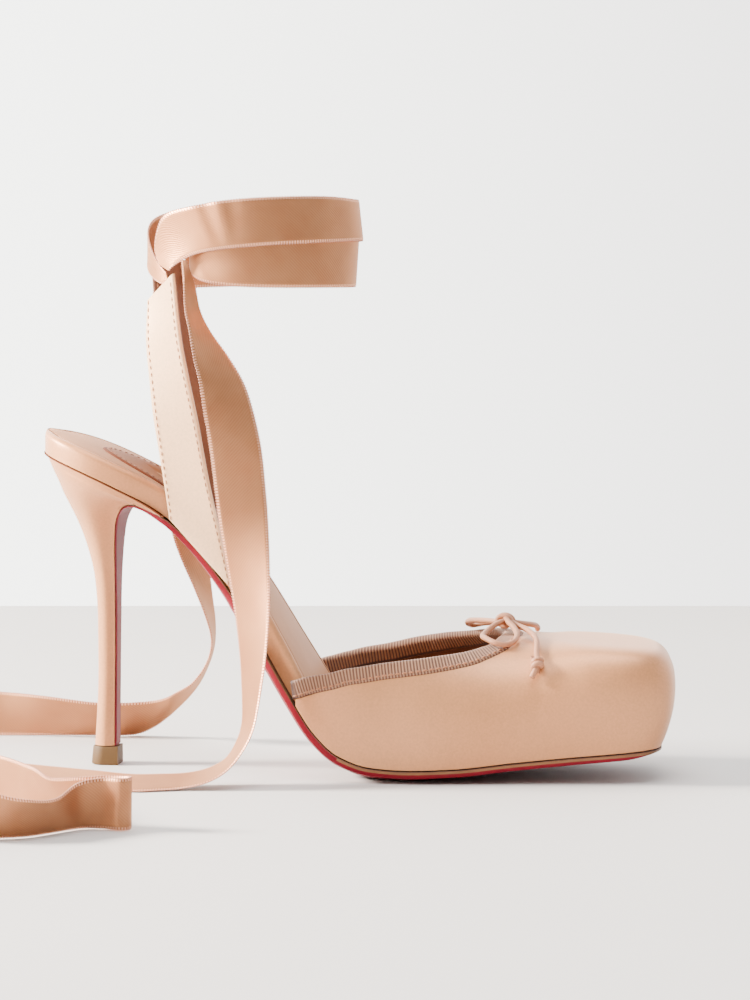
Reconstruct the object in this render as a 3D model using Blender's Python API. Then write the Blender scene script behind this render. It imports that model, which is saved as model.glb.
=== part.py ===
"""Bow pump: a square-toe satin mule pump with a slim high heel, a ribbed collar,
a cord bow and ankle ribbons. Right shoe, toe towards +X, outer side towards -Y,
origin on the ground under the middle of the heel tip."""

import math

import bmesh
import bpy
import numpy as np

MM = 0.001

# ---------------------------------------------------------------- driving sizes, in millimetres
SEAT_BACK = -20.4          # rearmost point of the seat
SEAT_DEEP = 24.0           # the seat's round back takes this much of its length
SEAT_ROUND = 2.3           # 2 would be a half ellipse
TOE_TIP = 187.2            # front of the sole
TOE_CENTRE = 150.0         # the toe's sections fan out from here
TOE_SQUARENESS = 5.0       # 2 would be a round toe
TOE_SWING = 0.12           # the toe's front turns this much towards the inner side
SWING_FROM, SWING_TO = 138.0, 178.0
SEAT_END = 25.0            # the seat rides on the heel up to here, and on the sole from here
HEEL_TIP_TOP = 6.3
TIP_FRONT = 4.4
GAP = 0.3                  # between pieces that meet
SEAT_LIFT = 0.15           # the vamp's edge over the feather line, clear of the sole's facets
WALL = 1.8                 # satin, padding and lining of the vamp
COLLAR_WIDTH = 6.3
COLLAR_PROUD = 0.4         # the binding stands this much over the satin
SOCK_THICK = 0.9
STRAP_THICK = 1.8
RIBBON_THICK = 0.6


class Table:
    """Rows of named columns, read at any value of the first column on a smooth monotone curve."""

    def __init__(self, names, rows):
        self.names = names.split()
        self.rows = np.array(rows, float)

    def __call__(self, name, at):
        keys = self.rows[:, 0]
        values = self.rows[:, self.names.index(name)]
        steps = np.diff(keys)
        rates = np.diff(values) / steps
        slopes = np.empty(len(keys))
        slopes[0], slopes[-1] = rates[0], rates[-1]
        for i in range(1, len(keys) - 1):
            before, after = rates[i - 1], rates[i]
            if before * after <= 0:
                slopes[i] = 0.0
                continue
            w1 = 2 * steps[i] + steps[i - 1]
            w2 = steps[i] + 2 * steps[i - 1]
            slopes[i] = (w1 + w2) / (w1 / before + w2 / after)
        at = np.clip(np.asarray(at, float), keys[0], keys[-1])
        i = np.clip(np.searchsorted(keys, at, side="right") - 1, 0, len(steps) - 1)
        t = (at - keys[i]) / steps[i]
        return (
            values[i] * (1 + 2 * t) * (1 - t) ** 2
            + slopes[i] * steps[i] * t * (1 - t) ** 2
            + values[i + 1] * t * t * (3 - 2 * t)
            + slopes[i + 1] * steps[i] * t * t * (t - 1)
        )


# The bottom of the foot: height of the feather line, and half widths to each side of it.
BOTTOM = Table("x height outer inner", [
    (-21, 106.8, 23.4, 23.4),
    (-8, 102.2, 23.8, 23.8),
    (6, 96.0, 23.4, 23.6),
    (20, 88.4, 21.9, 22.4),
    (32, 78.0, 20.6, 20.8),
    (44, 63.6, 21.4, 20.2),
    (56, 45.2, 26.0, 21.4),
    (68, 26.6, 31.6, 25.4),
    (76, 15.4, 34.2, 29.6),
    (84, 8.7, 35.9, 33.6),
    (95, 5.2, 36.8, 37.0),
    (106, 4.5, 36.8, 38.2),
    (122, 5.0, 35.0, 37.6),
    (140, 6.9, 32.0, 34.8),
    (160, 9.0, 29.0, 31.4),
    (190, 11.6, 25.6, 27.4),
])

# The last above it: crest height over the ground, squareness and side bulge of each section.
LAST = Table("x crest square bulge", [
    (60, 104.0, 2.3, 0.6),
    (76, 84.0, 2.4, 1.2),
    (90, 70.0, 2.5, 1.6),
    (104, 59.5, 2.6, 2.0),
    (120, 50.5, 2.9, 2.2),
    (137, 46.3, 3.3, 2.4),
    (150, 45.7, 3.8, 2.6),
])
TOE_SQUARE, TOE_BULGE = 12.0, 3.2
TOE_LEAN = 2.6             # the toe's top stands this far in front of its foot
TOE_TILT = 0.045           # the toe's top falls this much per millimetre forward

# Where the vamp ends and the collar begins: station for each rise angle round the foot,
# with one row past the crest, so that the throat turns there without a point.
VAMP_EDGE = Table("angle outer inner", [
    (1.5, 68.5, 68.1),
    (22.0, 76.0, 74.2),
    (35.0, 86.5, 83.3),
    (40.5, 98.1, 98.0),
    (44.5, 113.1, 110.1),
    (52.0, 130.4, 127.0),
    (63.0, 139.0, 136.6),
    (90.0, 141.2, 141.2),
    (117.0, 139.0, 136.6),
])

# The outsole's run down the breast of the heel, and the heel's sections over it.
HEEL = Table("run breast_x breast_z back_x back_z half flap", [
    (0.00, 25.0, 84.5, -20.1, 106.2, 23.5, 21.4),
    (0.06, 19.6, 87.4, -18.7, 102.9, 22.8, 20.2),
    (0.10, 16.0, 88.7, -17.4, 99.9, 21.6, 18.4),
    (0.14, 12.4, 89.3, -15.9, 96.7, 19.9, 16.3),
    (0.18, 9.2, 88.7, -14.3, 92.7, 17.6, 14.0),
    (0.22, 6.6, 86.6, -12.4, 88.8, 15.0, 11.8),
    (0.28, 4.7, 81.3, -9.6, 83.0, 11.6, 9.3),
    (0.36, 4.0, 72.8, -6.6, 75.0, 8.4, 7.2),
    (0.46, 3.7, 61.0, -3.9, 63.5, 6.1, 5.1),
    (0.56, 3.6, 49.5, -3.0, 50.5, 4.9, 4.3),
    (0.72, 3.4, 32.0, -2.9, 32.0, 4.4, 3.9),
    (0.88, 3.2, 16.0, -3.5, 16.0, 4.5, 3.9),
    (1.00, 3.1, 6.6, -4.2, 6.6, 4.6, 3.9),
])

SOLE_DEPTH = Table("x edge centre", [
    (25, 2.3, 3.0),
    (44, 2.4, 4.6),
    (62, 2.4, 5.4),
    (80, 2.6, 6.0),
    (92, 2.8, 6.0),
    (112, 2.8, 5.4),
    (126, 2.7, 4.0),
    (150, 2.6, 3.4),
    (174, 2.5, 3.0),
    (188, 1.0, 1.2),
])
FLAP_DEPTH = 0.7
# The sole's section, from its top edge round to its bottom: how far it is drawn in, as a share
# of the half width and at most, and how much of the edge's and the centre's depth it has.
SOLE_SECTION = [
    (0.00, 0.0, 0.62, 0.0),
    (0.20, 1.1, 1.00, 0.0),
    (0.26, 20.0, 0.45, 0.55),
    (0.60, 20.0, 0.00, 1.0),
]
# The heel's section, as shares of its length from its back, fullest at one of them.
HEEL_SHARES = (0.003, 0.02, 0.06, 0.13, 0.23, 0.36, 0.5, 0.65, 0.82, 1.0)
HEEL_FULLEST = 0.58
HEEL_RUNS = (0.03, 0.06, 0.09, 0.12, 0.15, 0.18, 0.21, 0.25, 0.29, 0.34, 0.4, 0.48, 0.58, 0.72, 0.86, 1.0)
# The heel tip: height and half width, widest where it spreads near the ground.
TIP_SECTION = [(0.0, 4.7), (0.6, 5.0), (HEEL_TIP_TOP, 4.6)]
TIP_WIDEST = 5.0

FOOTBED = Table("x depth inset", [
    (-21, 7.2, 0.3),
    (10, 7.2, 0.3),
    (24, 7.2, 2.4),
    (50, 7.2, 2.4),
    (60, 6.8, 3.2),
    (78, 5.0, 3.2),
    (95, 4.2, 2.6),
    (190, 4.0, 2.6),
])
# The footbed's rolled rim and the sock inside it: drawn in by, and under the rim's top by.
RIM_SECTION = [(0.0, 2.0), (0.6, 0.6), (1.9, 0.0), (3.1, 1.2)]
SOCK_SECTION = [(3.5, 0.9), (3.5, 0.35), (4.0, 0.9 - SOCK_THICK)]
RIM_TIGHT = 9.0            # where the half width is less than this, the rim narrows with it

# The straps, from the sole's edge up: their back and front edges.
STRAP_COLUMNS = "back_x back_y back_z front_x front_y front_z"
STRAP_OUTER = [
    (25.2, -20.2, 85.4, 46.8, -21.2, 61.9),
    (24.0, -21.2, 95.0, 43.0, -22.0, 80.0),
    (22.2, -22.2, 108.0, 39.3, -24.5, 99.0),
    (20.4, -22.8, 120.0, 36.2, -26.5, 118.0),
    (19.2, -22.4, 132.0, 33.2, -28.0, 133.5),
    (18.0, -20.8, 144.0, 30.8, -28.2, 147.0),
    (18.2, -18.8, 157.0, 28.6, -27.2, 166.6),
]
STRAP_INNER = [
    (29.5, 20.1, 81.3, 50.0, 20.8, 56.0),
    (27.5, 21.0, 90.0, 44.0, 22.0, 70.0),
    (25.0, 21.5, 100.0, 38.0, 24.0, 84.0),
    (22.0, 22.0, 112.0, 34.5, 25.0, 98.0),
    (18.5, 21.0, 125.0, 31.2, 25.0, 115.0),
    (15.4, 19.0, 140.0, 28.0, 24.5, 132.0),
    (13.8, 16.6, 154.0, 24.8, 23.6, 150.0),
    (13.2, 13.9, 168.0, 22.6, 22.3, 168.0),
    (13.4, 12.4, 180.0, 21.2, 20.7, 182.0),
]

# The ribbon's two turns round the ankle, an ellipse in plan. Angles run from the front, the
# inner side at 90 and the outer at -90; "out" is how far a turn lies off the ellipse.
ANKLE_X, ANKLE_LONG, ANKLE_WIDE = 51.0, 36.0, 32.0
TURN_COLUMNS = "low_angle low_z high_angle high_z out lean"
TURN_UPPER = [
    (-131, 167.4, -139, 169.5, 1.6, 0.0),
    (-127, 169.2, -144, 174.5, 1.6, 0.0),
    (-121, 171.2, -141, 181.5, 1.4, 0.0),
    (-114, 173.0, -134, 186.0, 1.2, 0.0),
    (-104, 174.3, -116, 188.6, 1.0, 0.0),
    (-90, 175.4, -95, 190.8, 0.7, -0.2),
    (-68, 176.4, -70, 191.8, 0.4, -0.6),
    (-40, 177.0, -40, 191.8, 0.2, -1.0),
    (-10, 177.2, -10, 190.6, 0.0, -1.4),
    (20, 176.6, 20, 190.0, 0.0, -1.4),
    (50, 175.4, 50, 189.4, 0.0, -1.0),
    (80, 174.2, 80, 188.8, 0.0, -0.6),
    (110, 173.0, 108, 188.0, 0.0, -0.3),
    (140, 172.0, 134, 187.0, 0.0, 0.0),
    (165, 170.6, 156, 185.6, 0.0, 0.0),
    (186, 168.6, 176, 182.6, 0.0, 0.0),
    (202, 165.6, 194, 177.6, -0.2, 0.0),
    (215, 163.2, 209, 171.4, -0.6, 0.0),
    (224, 162.6, 221, 166.6, -1.0, 0.0),
]
TURN_LOWER = [
    (-128, 167.0, -128, 173.5, -6.0, 0.0),
    (-121, 166.0, -122, 175.0, -3.4, 0.0),
    (-112, 164.2, -113, 177.0, -1.6, 0.0),
    (-98, 162.8, -99, 178.2, -1.2, 0.0),
    (-78, 162.2, -78, 178.4, -1.4, 0.2),
    (-50, 162.0, -50, 178.2, -1.8, 0.5),
    (-15, 161.8, -15, 177.8, -2.4, 1.0),
    (20, 161.6, 20, 177.4, -2.4, 1.0),
    (50, 161.4, 50, 177.0, -2.0, 0.7),
    (85, 161.0, 85, 176.6, -1.6, 0.3),
    (120, 160.6, 120, 176.0, -1.4, 0.0),
    (142, 160.4, 141, 175.4, -1.4, 0.0),
]

# The ribbon's loose tails, from the ankle to the floor: two edges, the first one the upper
# where a tail stands on its other edge.
TAIL_COLUMNS = "ax ay az bx by bz"
TAIL_OUTER = [
    (31.4, -29.5, 171.0, 33.0, -29.4, 170.9),
    (33.1, -35.4, 164.0, 36.0, -31.4, 163.4),
    (33.6, -36.4, 155.5, 37.6, -30.0, 154.5),
    (35.2, -37.6, 148.4, 40.8, -28.6, 147.5),
    (36.9, -38.2, 139.0, 46.4, -27.6, 139.5),
    (38.8, -38.2, 131.0, 51.9, -29.6, 131.0),
    (40.1, -37.6, 121.5, 55.4, -32.0, 122.0),
    (41.8, -36.6, 110.0, 58.3, -33.5, 110.0),
    (43.2, -35.6, 97.0, 59.8, -34.0, 97.0),
    (44.8, -35.0, 84.0, 60.9, -35.6, 86.0),
    (47.1, -34.2, 70.0, 61.9, -38.8, 72.5),
    (49.4, -33.8, 56.5, 62.5, -42.4, 59.0),
    (51.2, -34.5, 42.5, 62.0, -45.9, 44.5),
    (52.2, -36.0, 30.5, 60.6, -48.9, 31.5),
    (52.6, -38.2, 20.0, 58.8, -52.4, 20.0),
    (51.0, -40.2, 13.6, 55.8, -54.8, 13.0),
    (47.8, -42.4, 8.4, 50.9, -57.0, 6.6),
    (42.4, -44.4, 5.4, 44.6, -59.0, 2.8),
    (35.5, -46.6, 4.0, 37.0, -60.0, 1.0),
    (27.0, -48.2, 3.7, 29.5, -63.0, 0.6),
    (17.0, -49.0, 3.6, 20.5, -65.4, 0.5),
    (2.0, -41.5, 3.6, 8.0, -56.6, 0.5),
    (-10.0, -35.4, 3.5, -5.0, -50.6, 0.5),
    (-24.0, -29.0, 3.6, -19.4, -43.8, 0.5),
    (-37.0, -28.4, 5.0, -34.6, -42.6, 0.5),
    (-50.0, -37.0, 9.0, -43.6, -48.0, 0.5),
    (-55.0, -53.0, 13.0, -48.6, -57.0, 0.4),
    (-49.0, -71.0, 15.2, -45.6, -70.0, 0.4),
    (-34.0, -84.0, 15.6, -33.0, -82.0, 0.4),
    (-17.0, -95.0, 15.6, -17.4, -92.8, 0.4),
    (-1.0, -115.0, 14.8, -3.6, -111.4, 0.4),
    (7.4, -128.6, 13.6, 8.4, -121.0, 0.4),
    (17.0, -135.4, 14.8, 18.6, -130.4, 0.4),
    (28.0, -137.0, 15.8, 28.6, -135.4, 0.4),
    (35.2, -140.6, 16.2, 35.0, -140.0, 0.4),
    (33.8, -145.4, 16.2, 33.6, -145.6, 0.4),
    (26.6, -143.6, 16.0, 26.2, -142.8, 0.4),
    (20.0, -148.0, 14.8, 20.2, -143.4, 0.4),
    (15.4, -159.6, 11.6, 14.8, -151.0, 0.4),
    (7.0, -169.6, 13.0, 7.4, -161.4, 0.4),
    (-2.0, -171.0, 14.8, -1.0, -165.8, 0.4),
    (-13.0, -175.0, 15.4, -12.0, -171.0, 0.4),
]
TAIL_INNER = [
    (13.4, 17.4, 166.5, 19.6, 22.3, 166.0),
    (12.2, 20.6, 148.0, 22.6, 28.0, 148.0),
    (12.0, 27.0, 120.0, 25.0, 33.0, 120.0),
    (14.4, 31.0, 90.0, 27.6, 38.0, 88.0),
    (16.3, 33.0, 76.0, 28.0, 43.0, 73.0),
    (18.8, 36.0, 66.7, 26.9, 48.0, 63.0),
    (22.6, 38.6, 57.0, 26.7, 53.0, 53.6),
    (26.8, 40.0, 46.0, 27.4, 55.6, 43.0),
    (28.6, 41.4, 37.4, 26.8, 56.6, 33.6),
    (26.4, 43.6, 29.4, 23.6, 58.2, 25.0),
    (20.8, 46.6, 22.0, 19.4, 60.6, 18.2),
    (14.2, 49.6, 18.0, 12.8, 64.4, 11.2),
    (8.6, 58.6, 14.9, 5.0, 68.6, 4.6),
    (2.0, 62.0, 13.3, -2.4, 70.4, 0.8),
    (-8.0, 59.5, 12.9, -9.0, 67.4, 0.4),
    (-18.0, 58.6, 13.2, -19.0, 66.6, 0.4),
    (-34.0, 60.0, 14.8, -34.0, 64.8, 0.4),
    (-50.0, 63.4, 15.6, -50.0, 62.6, 0.4),
    (-62.0, 62.8, 15.6, -62.0, 61.6, 0.4),
]

# The cord bow: centre line and radius.
CORD_COLUMNS = "x y z radius"
CORD = 0.95
BOW_KNOT = [
    (137.4, -0.6, 48.2, 0.8),
    (136.6, -0.6, 48.7, 1.0),
    (135.6, -0.6, 49.4, 2.2),
    (135.2, -0.6, 50.6, 2.6),
    (135.0, -0.6, 51.8, 2.1),
    (135.0, -0.6, 52.4, 1.0),
]
BOW_LOOP_OUTER = [
    (134.3, -4.0, 50.5, CORD),
    (132.1, -7.0, 49.5, CORD),
    (130.0, -11.5, 47.8, CORD),
    (129.4, -15.5, 46.9, CORD),
    (131.2, -19.6, 46.5, CORD),
    (134.2, -22.3, 45.6, CORD),
    (137.6, -21.8, 45.0, CORD),
    (140.1, -18.8, 45.7, CORD),
    (140.6, -13.5, 47.2, CORD),
    (139.2, -8.2, 48.9, CORD),
    (137.0, -4.7, 50.4, CORD),
]
BOW_LOOP_INNER = [
    (132.9, 2.0, 49.9, CORD),
    (128.0, 8.0, 49.6, CORD),
    (124.0, 14.5, 49.0, CORD),
    (121.0, 20.5, 48.2, CORD),
    (119.8, 24.5, 47.0, CORD),
    (121.4, 27.2, 46.0, CORD),
    (126.2, 23.4, 47.2, CORD),
    (131.2, 15.4, 48.2, CORD),
    (134.4, 8.0, 48.5, CORD),
    (135.6, 4.0, 49.0, CORD),
]
BOW_END_OUTER = [
    (138.2, -2.4, 49.9, CORD),
    (140.4, -4.6, 49.2, CORD),
    (143.2, -8.0, 48.6, CORD),
    (145.9, -12.8, 47.4, CORD),
    (147.5, -17.8, 46.0, CORD),
    (148.0, -22.2, 44.4, CORD),
    (148.3, -25.8, 42.7, CORD),
    (148.7, -28.0, 41.3, 1.5),
    (149.0, -29.7, 40.0, 1.9),
    (148.5, -31.0, 38.2, 1.6),
    (148.0, -31.8, 36.9, CORD),
    (147.4, -32.5, 35.5, CORD),
]
BOW_END_INNER = [
    (137.4, 1.6, 50.0, CORD),
    (140.0, 5.0, 49.2, CORD),
    (142.4, 10.0, 48.4, CORD),
    (143.8, 15.0, 47.5, CORD),
    (144.2, 18.8, 46.5, CORD),
    (144.0, 21.2, 45.6, CORD),
]


# ---------------------------------------------------------------- the foot's form
def toe_cap(x):
    """Share of the half width that is left towards the square toe's front."""
    reach = np.clip((np.asarray(x, float) - TOE_CENTRE) / (TOE_TIP - TOE_CENTRE), 0, 1)
    return (1 - reach ** TOE_SQUARENESS) ** (1 / TOE_SQUARENESS)


def heel_cap(x):
    """Share of the half width at the round back of the seat."""
    reach = np.clip((SEAT_BACK + SEAT_DEEP - np.asarray(x, float)) / SEAT_DEEP, 0, 1)
    return (1 - reach ** SEAT_ROUND) ** (1 / SEAT_ROUND)


def half_width(x, side):
    column = "outer" if side < 0 else "inner"
    return BOTTOM(column, x) * toe_cap(x) * heel_cap(x)


def toe_station(angle):
    """x of the toe's outline at a superellipse angle, 90 degrees at TOE_CENTRE and 0 at the tip."""
    share = math.cos(math.radians(angle)) ** (2 / TOE_SQUARENESS)
    return TOE_CENTRE + (TOE_TIP - TOE_CENTRE) * share


def heel_stations(count):
    """x of points round the back of the seat, closer together where it turns."""
    angles = np.linspace(0, 90, count + 1)[:-1]
    return [SEAT_BACK + SEAT_DEEP * (1 - math.cos(math.radians(a)) ** (2 / SEAT_ROUND)) for a in angles]


def swung(points):
    """Turns the toe's front towards the inner side, by moving its points forward or back."""
    reach = np.clip((points[..., 0] - SWING_FROM) / (SWING_TO - SWING_FROM), 0, 1)
    points[..., 0] -= TOE_SWING * points[..., 1] * reach * reach * (3 - 2 * reach)
    return points


def wall_points(foot, crest_at, base, crest, square, bulge, lean, angles, inset):
    """One section of the last, from the feather line over the side to the crest.

    foot and crest_at are plan points; the section is a superellipse quarter between them,
    swelled by bulge, leaning out by lean at its top and drawn in by inset."""
    away = np.subtract(foot, crest_at)
    reach = math.hypot(*away)
    away = away / reach
    reach -= inset
    rise = crest - base - inset
    cosine, sine = np.cos(angles), np.sin(angles)
    radius = ((np.abs(cosine) / reach) ** square + (np.abs(sine) / rise) ** square) ** (-1 / square)
    up = radius * sine
    share = np.clip(up / rise, 0, 1)
    out = radius * cosine * (1 + lean * share / reach) + bulge * 4 * share * (1 - share)
    z = base + up - TOE_TILT * out * away[0] * share
    return swung(np.stack([crest_at[0] + away[0] * out, crest_at[1] + away[1] * out, z], -1))


def side_section(x, side, angles, inset=0.0):
    """The last's wall across the foot at x, on the outer (-1) or inner (+1) side."""
    foot = (x, side * float(half_width(x, side)))
    base = float(BOTTOM("height", x)) + SEAT_LIFT
    shape = [float(LAST(name, x)) for name in ("crest", "square", "bulge")]
    return wall_points(foot, (x, 0.0), base, *shape, 0.0, np.asarray(angles, float), inset)


def toe_section(outline_angle, side, angles, inset=0.0):
    """The last's wall in the fan round the toe."""
    x = toe_station(outline_angle)
    share = math.sin(math.radians(outline_angle)) ** (2 / TOE_SQUARENESS)
    column = "outer" if side < 0 else "inner"
    foot = (x, side * float(BOTTOM(column, x)) * share)
    forward = (x - TOE_CENTRE) / math.hypot(x - TOE_CENTRE, foot[1])
    base = float(BOTTOM("height", x)) + SEAT_LIFT
    square = float(LAST("square", TOE_CENTRE)) * (1 - forward) + TOE_SQUARE * forward
    bulge = float(LAST("bulge", TOE_CENTRE)) * (1 - forward) + TOE_BULGE * forward
    crest = float(LAST("crest", TOE_CENTRE))
    lean = TOE_LEAN * forward
    return wall_points(
        foot, (TOE_CENTRE, 0.0), base, crest, square, bulge, lean, np.asarray(angles, float), inset
    )


def even_angles(section, last, count):
    """Rise angles from the feather line to the last one, closer together where the section turns."""
    fine = np.linspace(0, last, 90)
    points = section(fine)
    legs = np.diff(points, axis=0)
    lengths = np.linalg.norm(legs, axis=1)
    units = legs / lengths[:, None]
    turns = np.arccos(np.clip((units[1:] * units[:-1]).sum(1), -1, 1))
    weight = lengths + 14 * np.concatenate([[0], turns])
    run = np.concatenate([[0], np.cumsum(weight)])
    return np.interp(np.linspace(0, run[-1], count + 1), run, fine)


def spine_frame(points):
    """Directions across a line of (x, z) points, on the foot's side, for a line from toe to heel."""
    legs = np.diff(points, axis=0)
    legs /= np.linalg.norm(legs, axis=1)[:, None]
    ahead = np.concatenate([legs[:1], legs[1:] + legs[:-1], legs[-1:]])
    ahead /= np.linalg.norm(ahead, axis=1)[:, None]
    return np.stack([ahead[:, 1], -ahead[:, 0]], 1)


# ---------------------------------------------------------------- mesh helpers
def add_object(name, mesh_data, colour, roughness):
    mesh = bpy.data.meshes.new(name)
    mesh_data.normal_update()
    bmesh.ops.recalc_face_normals(mesh_data, faces=mesh_data.faces)
    mesh_data.to_mesh(mesh)
    mesh_data.free()
    mesh.shade_smooth()
    mesh.set_sharp_from_angle(angle=math.radians(40))
    obj = bpy.data.objects.new(name, mesh)
    obj.data.materials.append(finish(name, colour, roughness))
    bpy.data.collections["bow_pump"].objects.link(obj)
    return obj


def finish(name, colour, roughness):
    material = bpy.data.materials.new(name)
    material.use_nodes = True
    shader = material.node_tree.nodes["Principled BSDF"]
    shader.inputs["Base Color"].default_value = (*colour, 1)
    shader.inputs["Roughness"].default_value = roughness
    return material


def put_grid(solid, points):
    """Adds a grid of vertices, given in millimetres."""
    return [[solid.verts.new(np.asarray(p) * MM) for p in row] for row in points]


def put_faces(solid, grid, around=False):
    """Adds the quads between neighbouring rows of a grid, and round its rows if they are closed."""
    for a, b in zip(grid, grid[1:]):
        span = len(a) if around else len(a) - 1
        for j in range(span):
            k = (j + 1) % len(a)
            solid.faces.new((a[j], a[k], b[k], b[j]))


def loft(name, sections, colour, roughness):
    """A solid through closed sections, with its two ends capped."""
    solid = bmesh.new()
    grid = put_grid(solid, sections)
    put_faces(solid, grid, around=True)
    solid.faces.new(grid[0])
    solid.faces.new(grid[-1])
    return add_object(name, solid, colour, roughness)


def stack(name, rings, colour, roughness):
    """A solid through stacked rings; point k of a ring's first half faces point k of its second,
    counted back, and the two ends are closed by strips across."""
    solid = bmesh.new()
    grid = put_grid(solid, rings)
    put_faces(solid, grid, around=True)
    for ring in (grid[0], grid[-1]):
        close_across(solid, ring)
    return add_object(name, solid, colour, roughness)


def close_across(solid, ring):
    last = len(ring) - 1
    for k in range(len(ring) // 2):
        a, b, c, d = ring[k], ring[k + 1], ring[last - k - 1], ring[last - k]
        corners = list(dict.fromkeys((a, b, c, d)))
        if len(corners) > 2:
            solid.faces.new(corners)


# ---------------------------------------------------------------- outlines on a bent surface
class Spine:
    """A line of (x, z) points from toe to heel, and the surface that runs straight across it."""

    def __init__(self, points):
        self.points = np.array(points, float)
        self.across = spine_frame(self.points)
        upright = np.clip((self.points[:, 0] - SEAT_BACK) / SEAT_DEEP, 0, 1)
        on_seat = self.across[:, 1] > 0.8
        self.across[:, 0] *= np.where(on_seat, upright, 1)
        self.across /= np.linalg.norm(self.across, axis=1)[:, None]
        legs = np.linalg.norm(np.diff(self.points, axis=0), axis=1)
        self.run = np.concatenate([[0], np.cumsum(legs)])

    def place(self, flat, n):
        """Puts plan points (run, y) on the surface, n over it."""
        flat = np.asarray(flat, float)
        out = np.empty((len(flat), 3))
        for column, target in ((0, 0), (1, 2)):
            base = np.interp(flat[:, 0], self.run, self.points[:, column])
            out[:, target] = base + np.interp(flat[:, 0], self.run, self.across[:, column]) * n
        out[:, 1] = flat[:, 1]
        return swung(out)


def ring_of(run, outer, inner):
    """One loop of plan points: along the outer side, then back along the inner side."""
    near = np.stack([run, -np.asarray(outer)], 1)
    far = np.stack([run, np.asarray(inner)], 1)
    return np.concatenate([near, far[::-1]])


def drawn_in(ring, amount):
    """The loop offset inwards by amount, one number or one for each point."""
    ahead = np.roll(ring, -1, axis=0) - np.roll(ring, 1, axis=0)
    ahead /= np.linalg.norm(ahead, axis=1)[:, None]
    area = (ring[:, 0] * np.roll(ring[:, 1], -1) - np.roll(ring[:, 0], -1) * ring[:, 1]).sum()
    turn = 1 if area > 0 else -1
    inward = turn * np.stack([-ahead[:, 1], ahead[:, 0]], 1)
    return ring + inward * np.broadcast_to(amount, len(ring))[:, None]


def mirrored(values):
    return np.concatenate([values, values[::-1]])


def sole_stations():
    """x of the stations that sole, footbed and sock share, from the toe to the end of the seat's run."""
    toe = [toe_station(a) for a in (8, 16, 25, 35, 46, 58, 70, 80)]
    forefoot = list(np.arange(157.0, 99.0, -6.5))
    ball = list(np.arange(98.0, 67.0, -4.0))
    arch = list(np.linspace(65.0, SEAT_END, 10))
    return toe + forefoot + ball + arch


# ---------------------------------------------------------------- sole and heel
def outsole():
    """Leather sole: one strip from the toe, up the arch and down the breast of the heel."""
    stations = sole_stations()
    runs = (0.0,) + HEEL_RUNS
    down = [(float(HEEL("breast_x", t)), float(HEEL("breast_z", t))) for t in runs[1:]]
    spine = Spine([(x, float(BOTTOM("height", x))) for x in stations] + down)
    outer = [float(half_width(x, -1)) for x in stations] + [float(HEEL("flap", t)) for t in runs[1:]]
    inner = [float(half_width(x, 1)) for x in stations] + [float(HEEL("flap", t)) for t in runs[1:]]
    thinning = [np.clip(t / 0.2, 0, 1) for t in runs[1:]]
    depths = []
    for name in ("edge", "centre"):
        along = [float(SOLE_DEPTH(name, x)) for x in stations]
        flap = [along[-1] + (FLAP_DEPTH - along[-1]) * share for share in thinning]
        depths.append(mirrored(np.array(along + flap)))
    edge, centre = depths
    ring = ring_of(spine.run, outer, inner)
    half = mirrored((np.array(outer) + np.array(inner)) / 2)
    rings = [spine.place(ring, -GAP)]
    for share, most, of_edge, of_centre in SOLE_SECTION:
        inset = np.minimum(most, share * half)
        rings.append(spine.place(drawn_in(ring, inset), -of_edge * edge - of_centre * centre))
    for points in rings:
        points[:, 2] = np.maximum(points[:, 2], 0.0)
    return stack("outsole", rings, (0.42, 0.03, 0.05), 0.35)


def heel():
    """Slim heel, wide under the seat, with a flat breast that the sole's flap covers."""
    shares = np.array(HEEL_SHARES)
    seat_x = SEAT_BACK + GAP + (SEAT_END - 2.6 - SEAT_BACK - GAP) * shares
    top = np.stack([seat_x, half_width(seat_x, -1), BOTTOM("height", seat_x) - GAP], 1)
    rings = [top]
    for t in HEEL_RUNS:
        front = np.array([float(HEEL("breast_x", t)), float(HEEL("breast_z", t))])
        back = np.array([float(HEEL("back_x", t)), float(HEEL("back_z", t))])
        line = back + (front - back) * shares[:, None]
        half, flap = float(HEEL("half", t)), float(HEEL("flap", t))
        rear = np.sqrt(1 - (1 - np.minimum(shares / HEEL_FULLEST, 1)) ** 2)
        ahead = np.clip((shares - HEEL_FULLEST) / (1 - HEEL_FULLEST), 0, 1)
        y = half * rear + (flap - half) * ahead * ahead * (3 - 2 * ahead)
        rings.append(np.stack([line[:, 0], y, line[:, 1]], 1))
    sides = (np.array([1, -1, 1]), np.array([1, 1, 1]))
    loops = [np.concatenate([ring * sides[0], (ring * sides[1])[::-1]]) for ring in rings]
    return stack("heel", loops, (0.86, 0.66, 0.54), 0.4)


def top_piece():
    """Rubber heel tip: flat across the front, round behind, a little wider near the ground."""
    arc = np.radians(np.linspace(90, 270, 11))
    rings = []
    for z, half in TIP_SECTION:
        back = [(TIP_FRONT - half + half * math.cos(a) * 0.95, half * math.sin(a), z) for a in arc]
        front = [(TIP_FRONT - 0.1 * (TIP_WIDEST - half), side * half, z) for side in (-1, 1)]
        rings.append(np.array(back + front))
    return loft("top_piece", rings, (0.35, 0.24, 0.12), 0.6)


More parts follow.
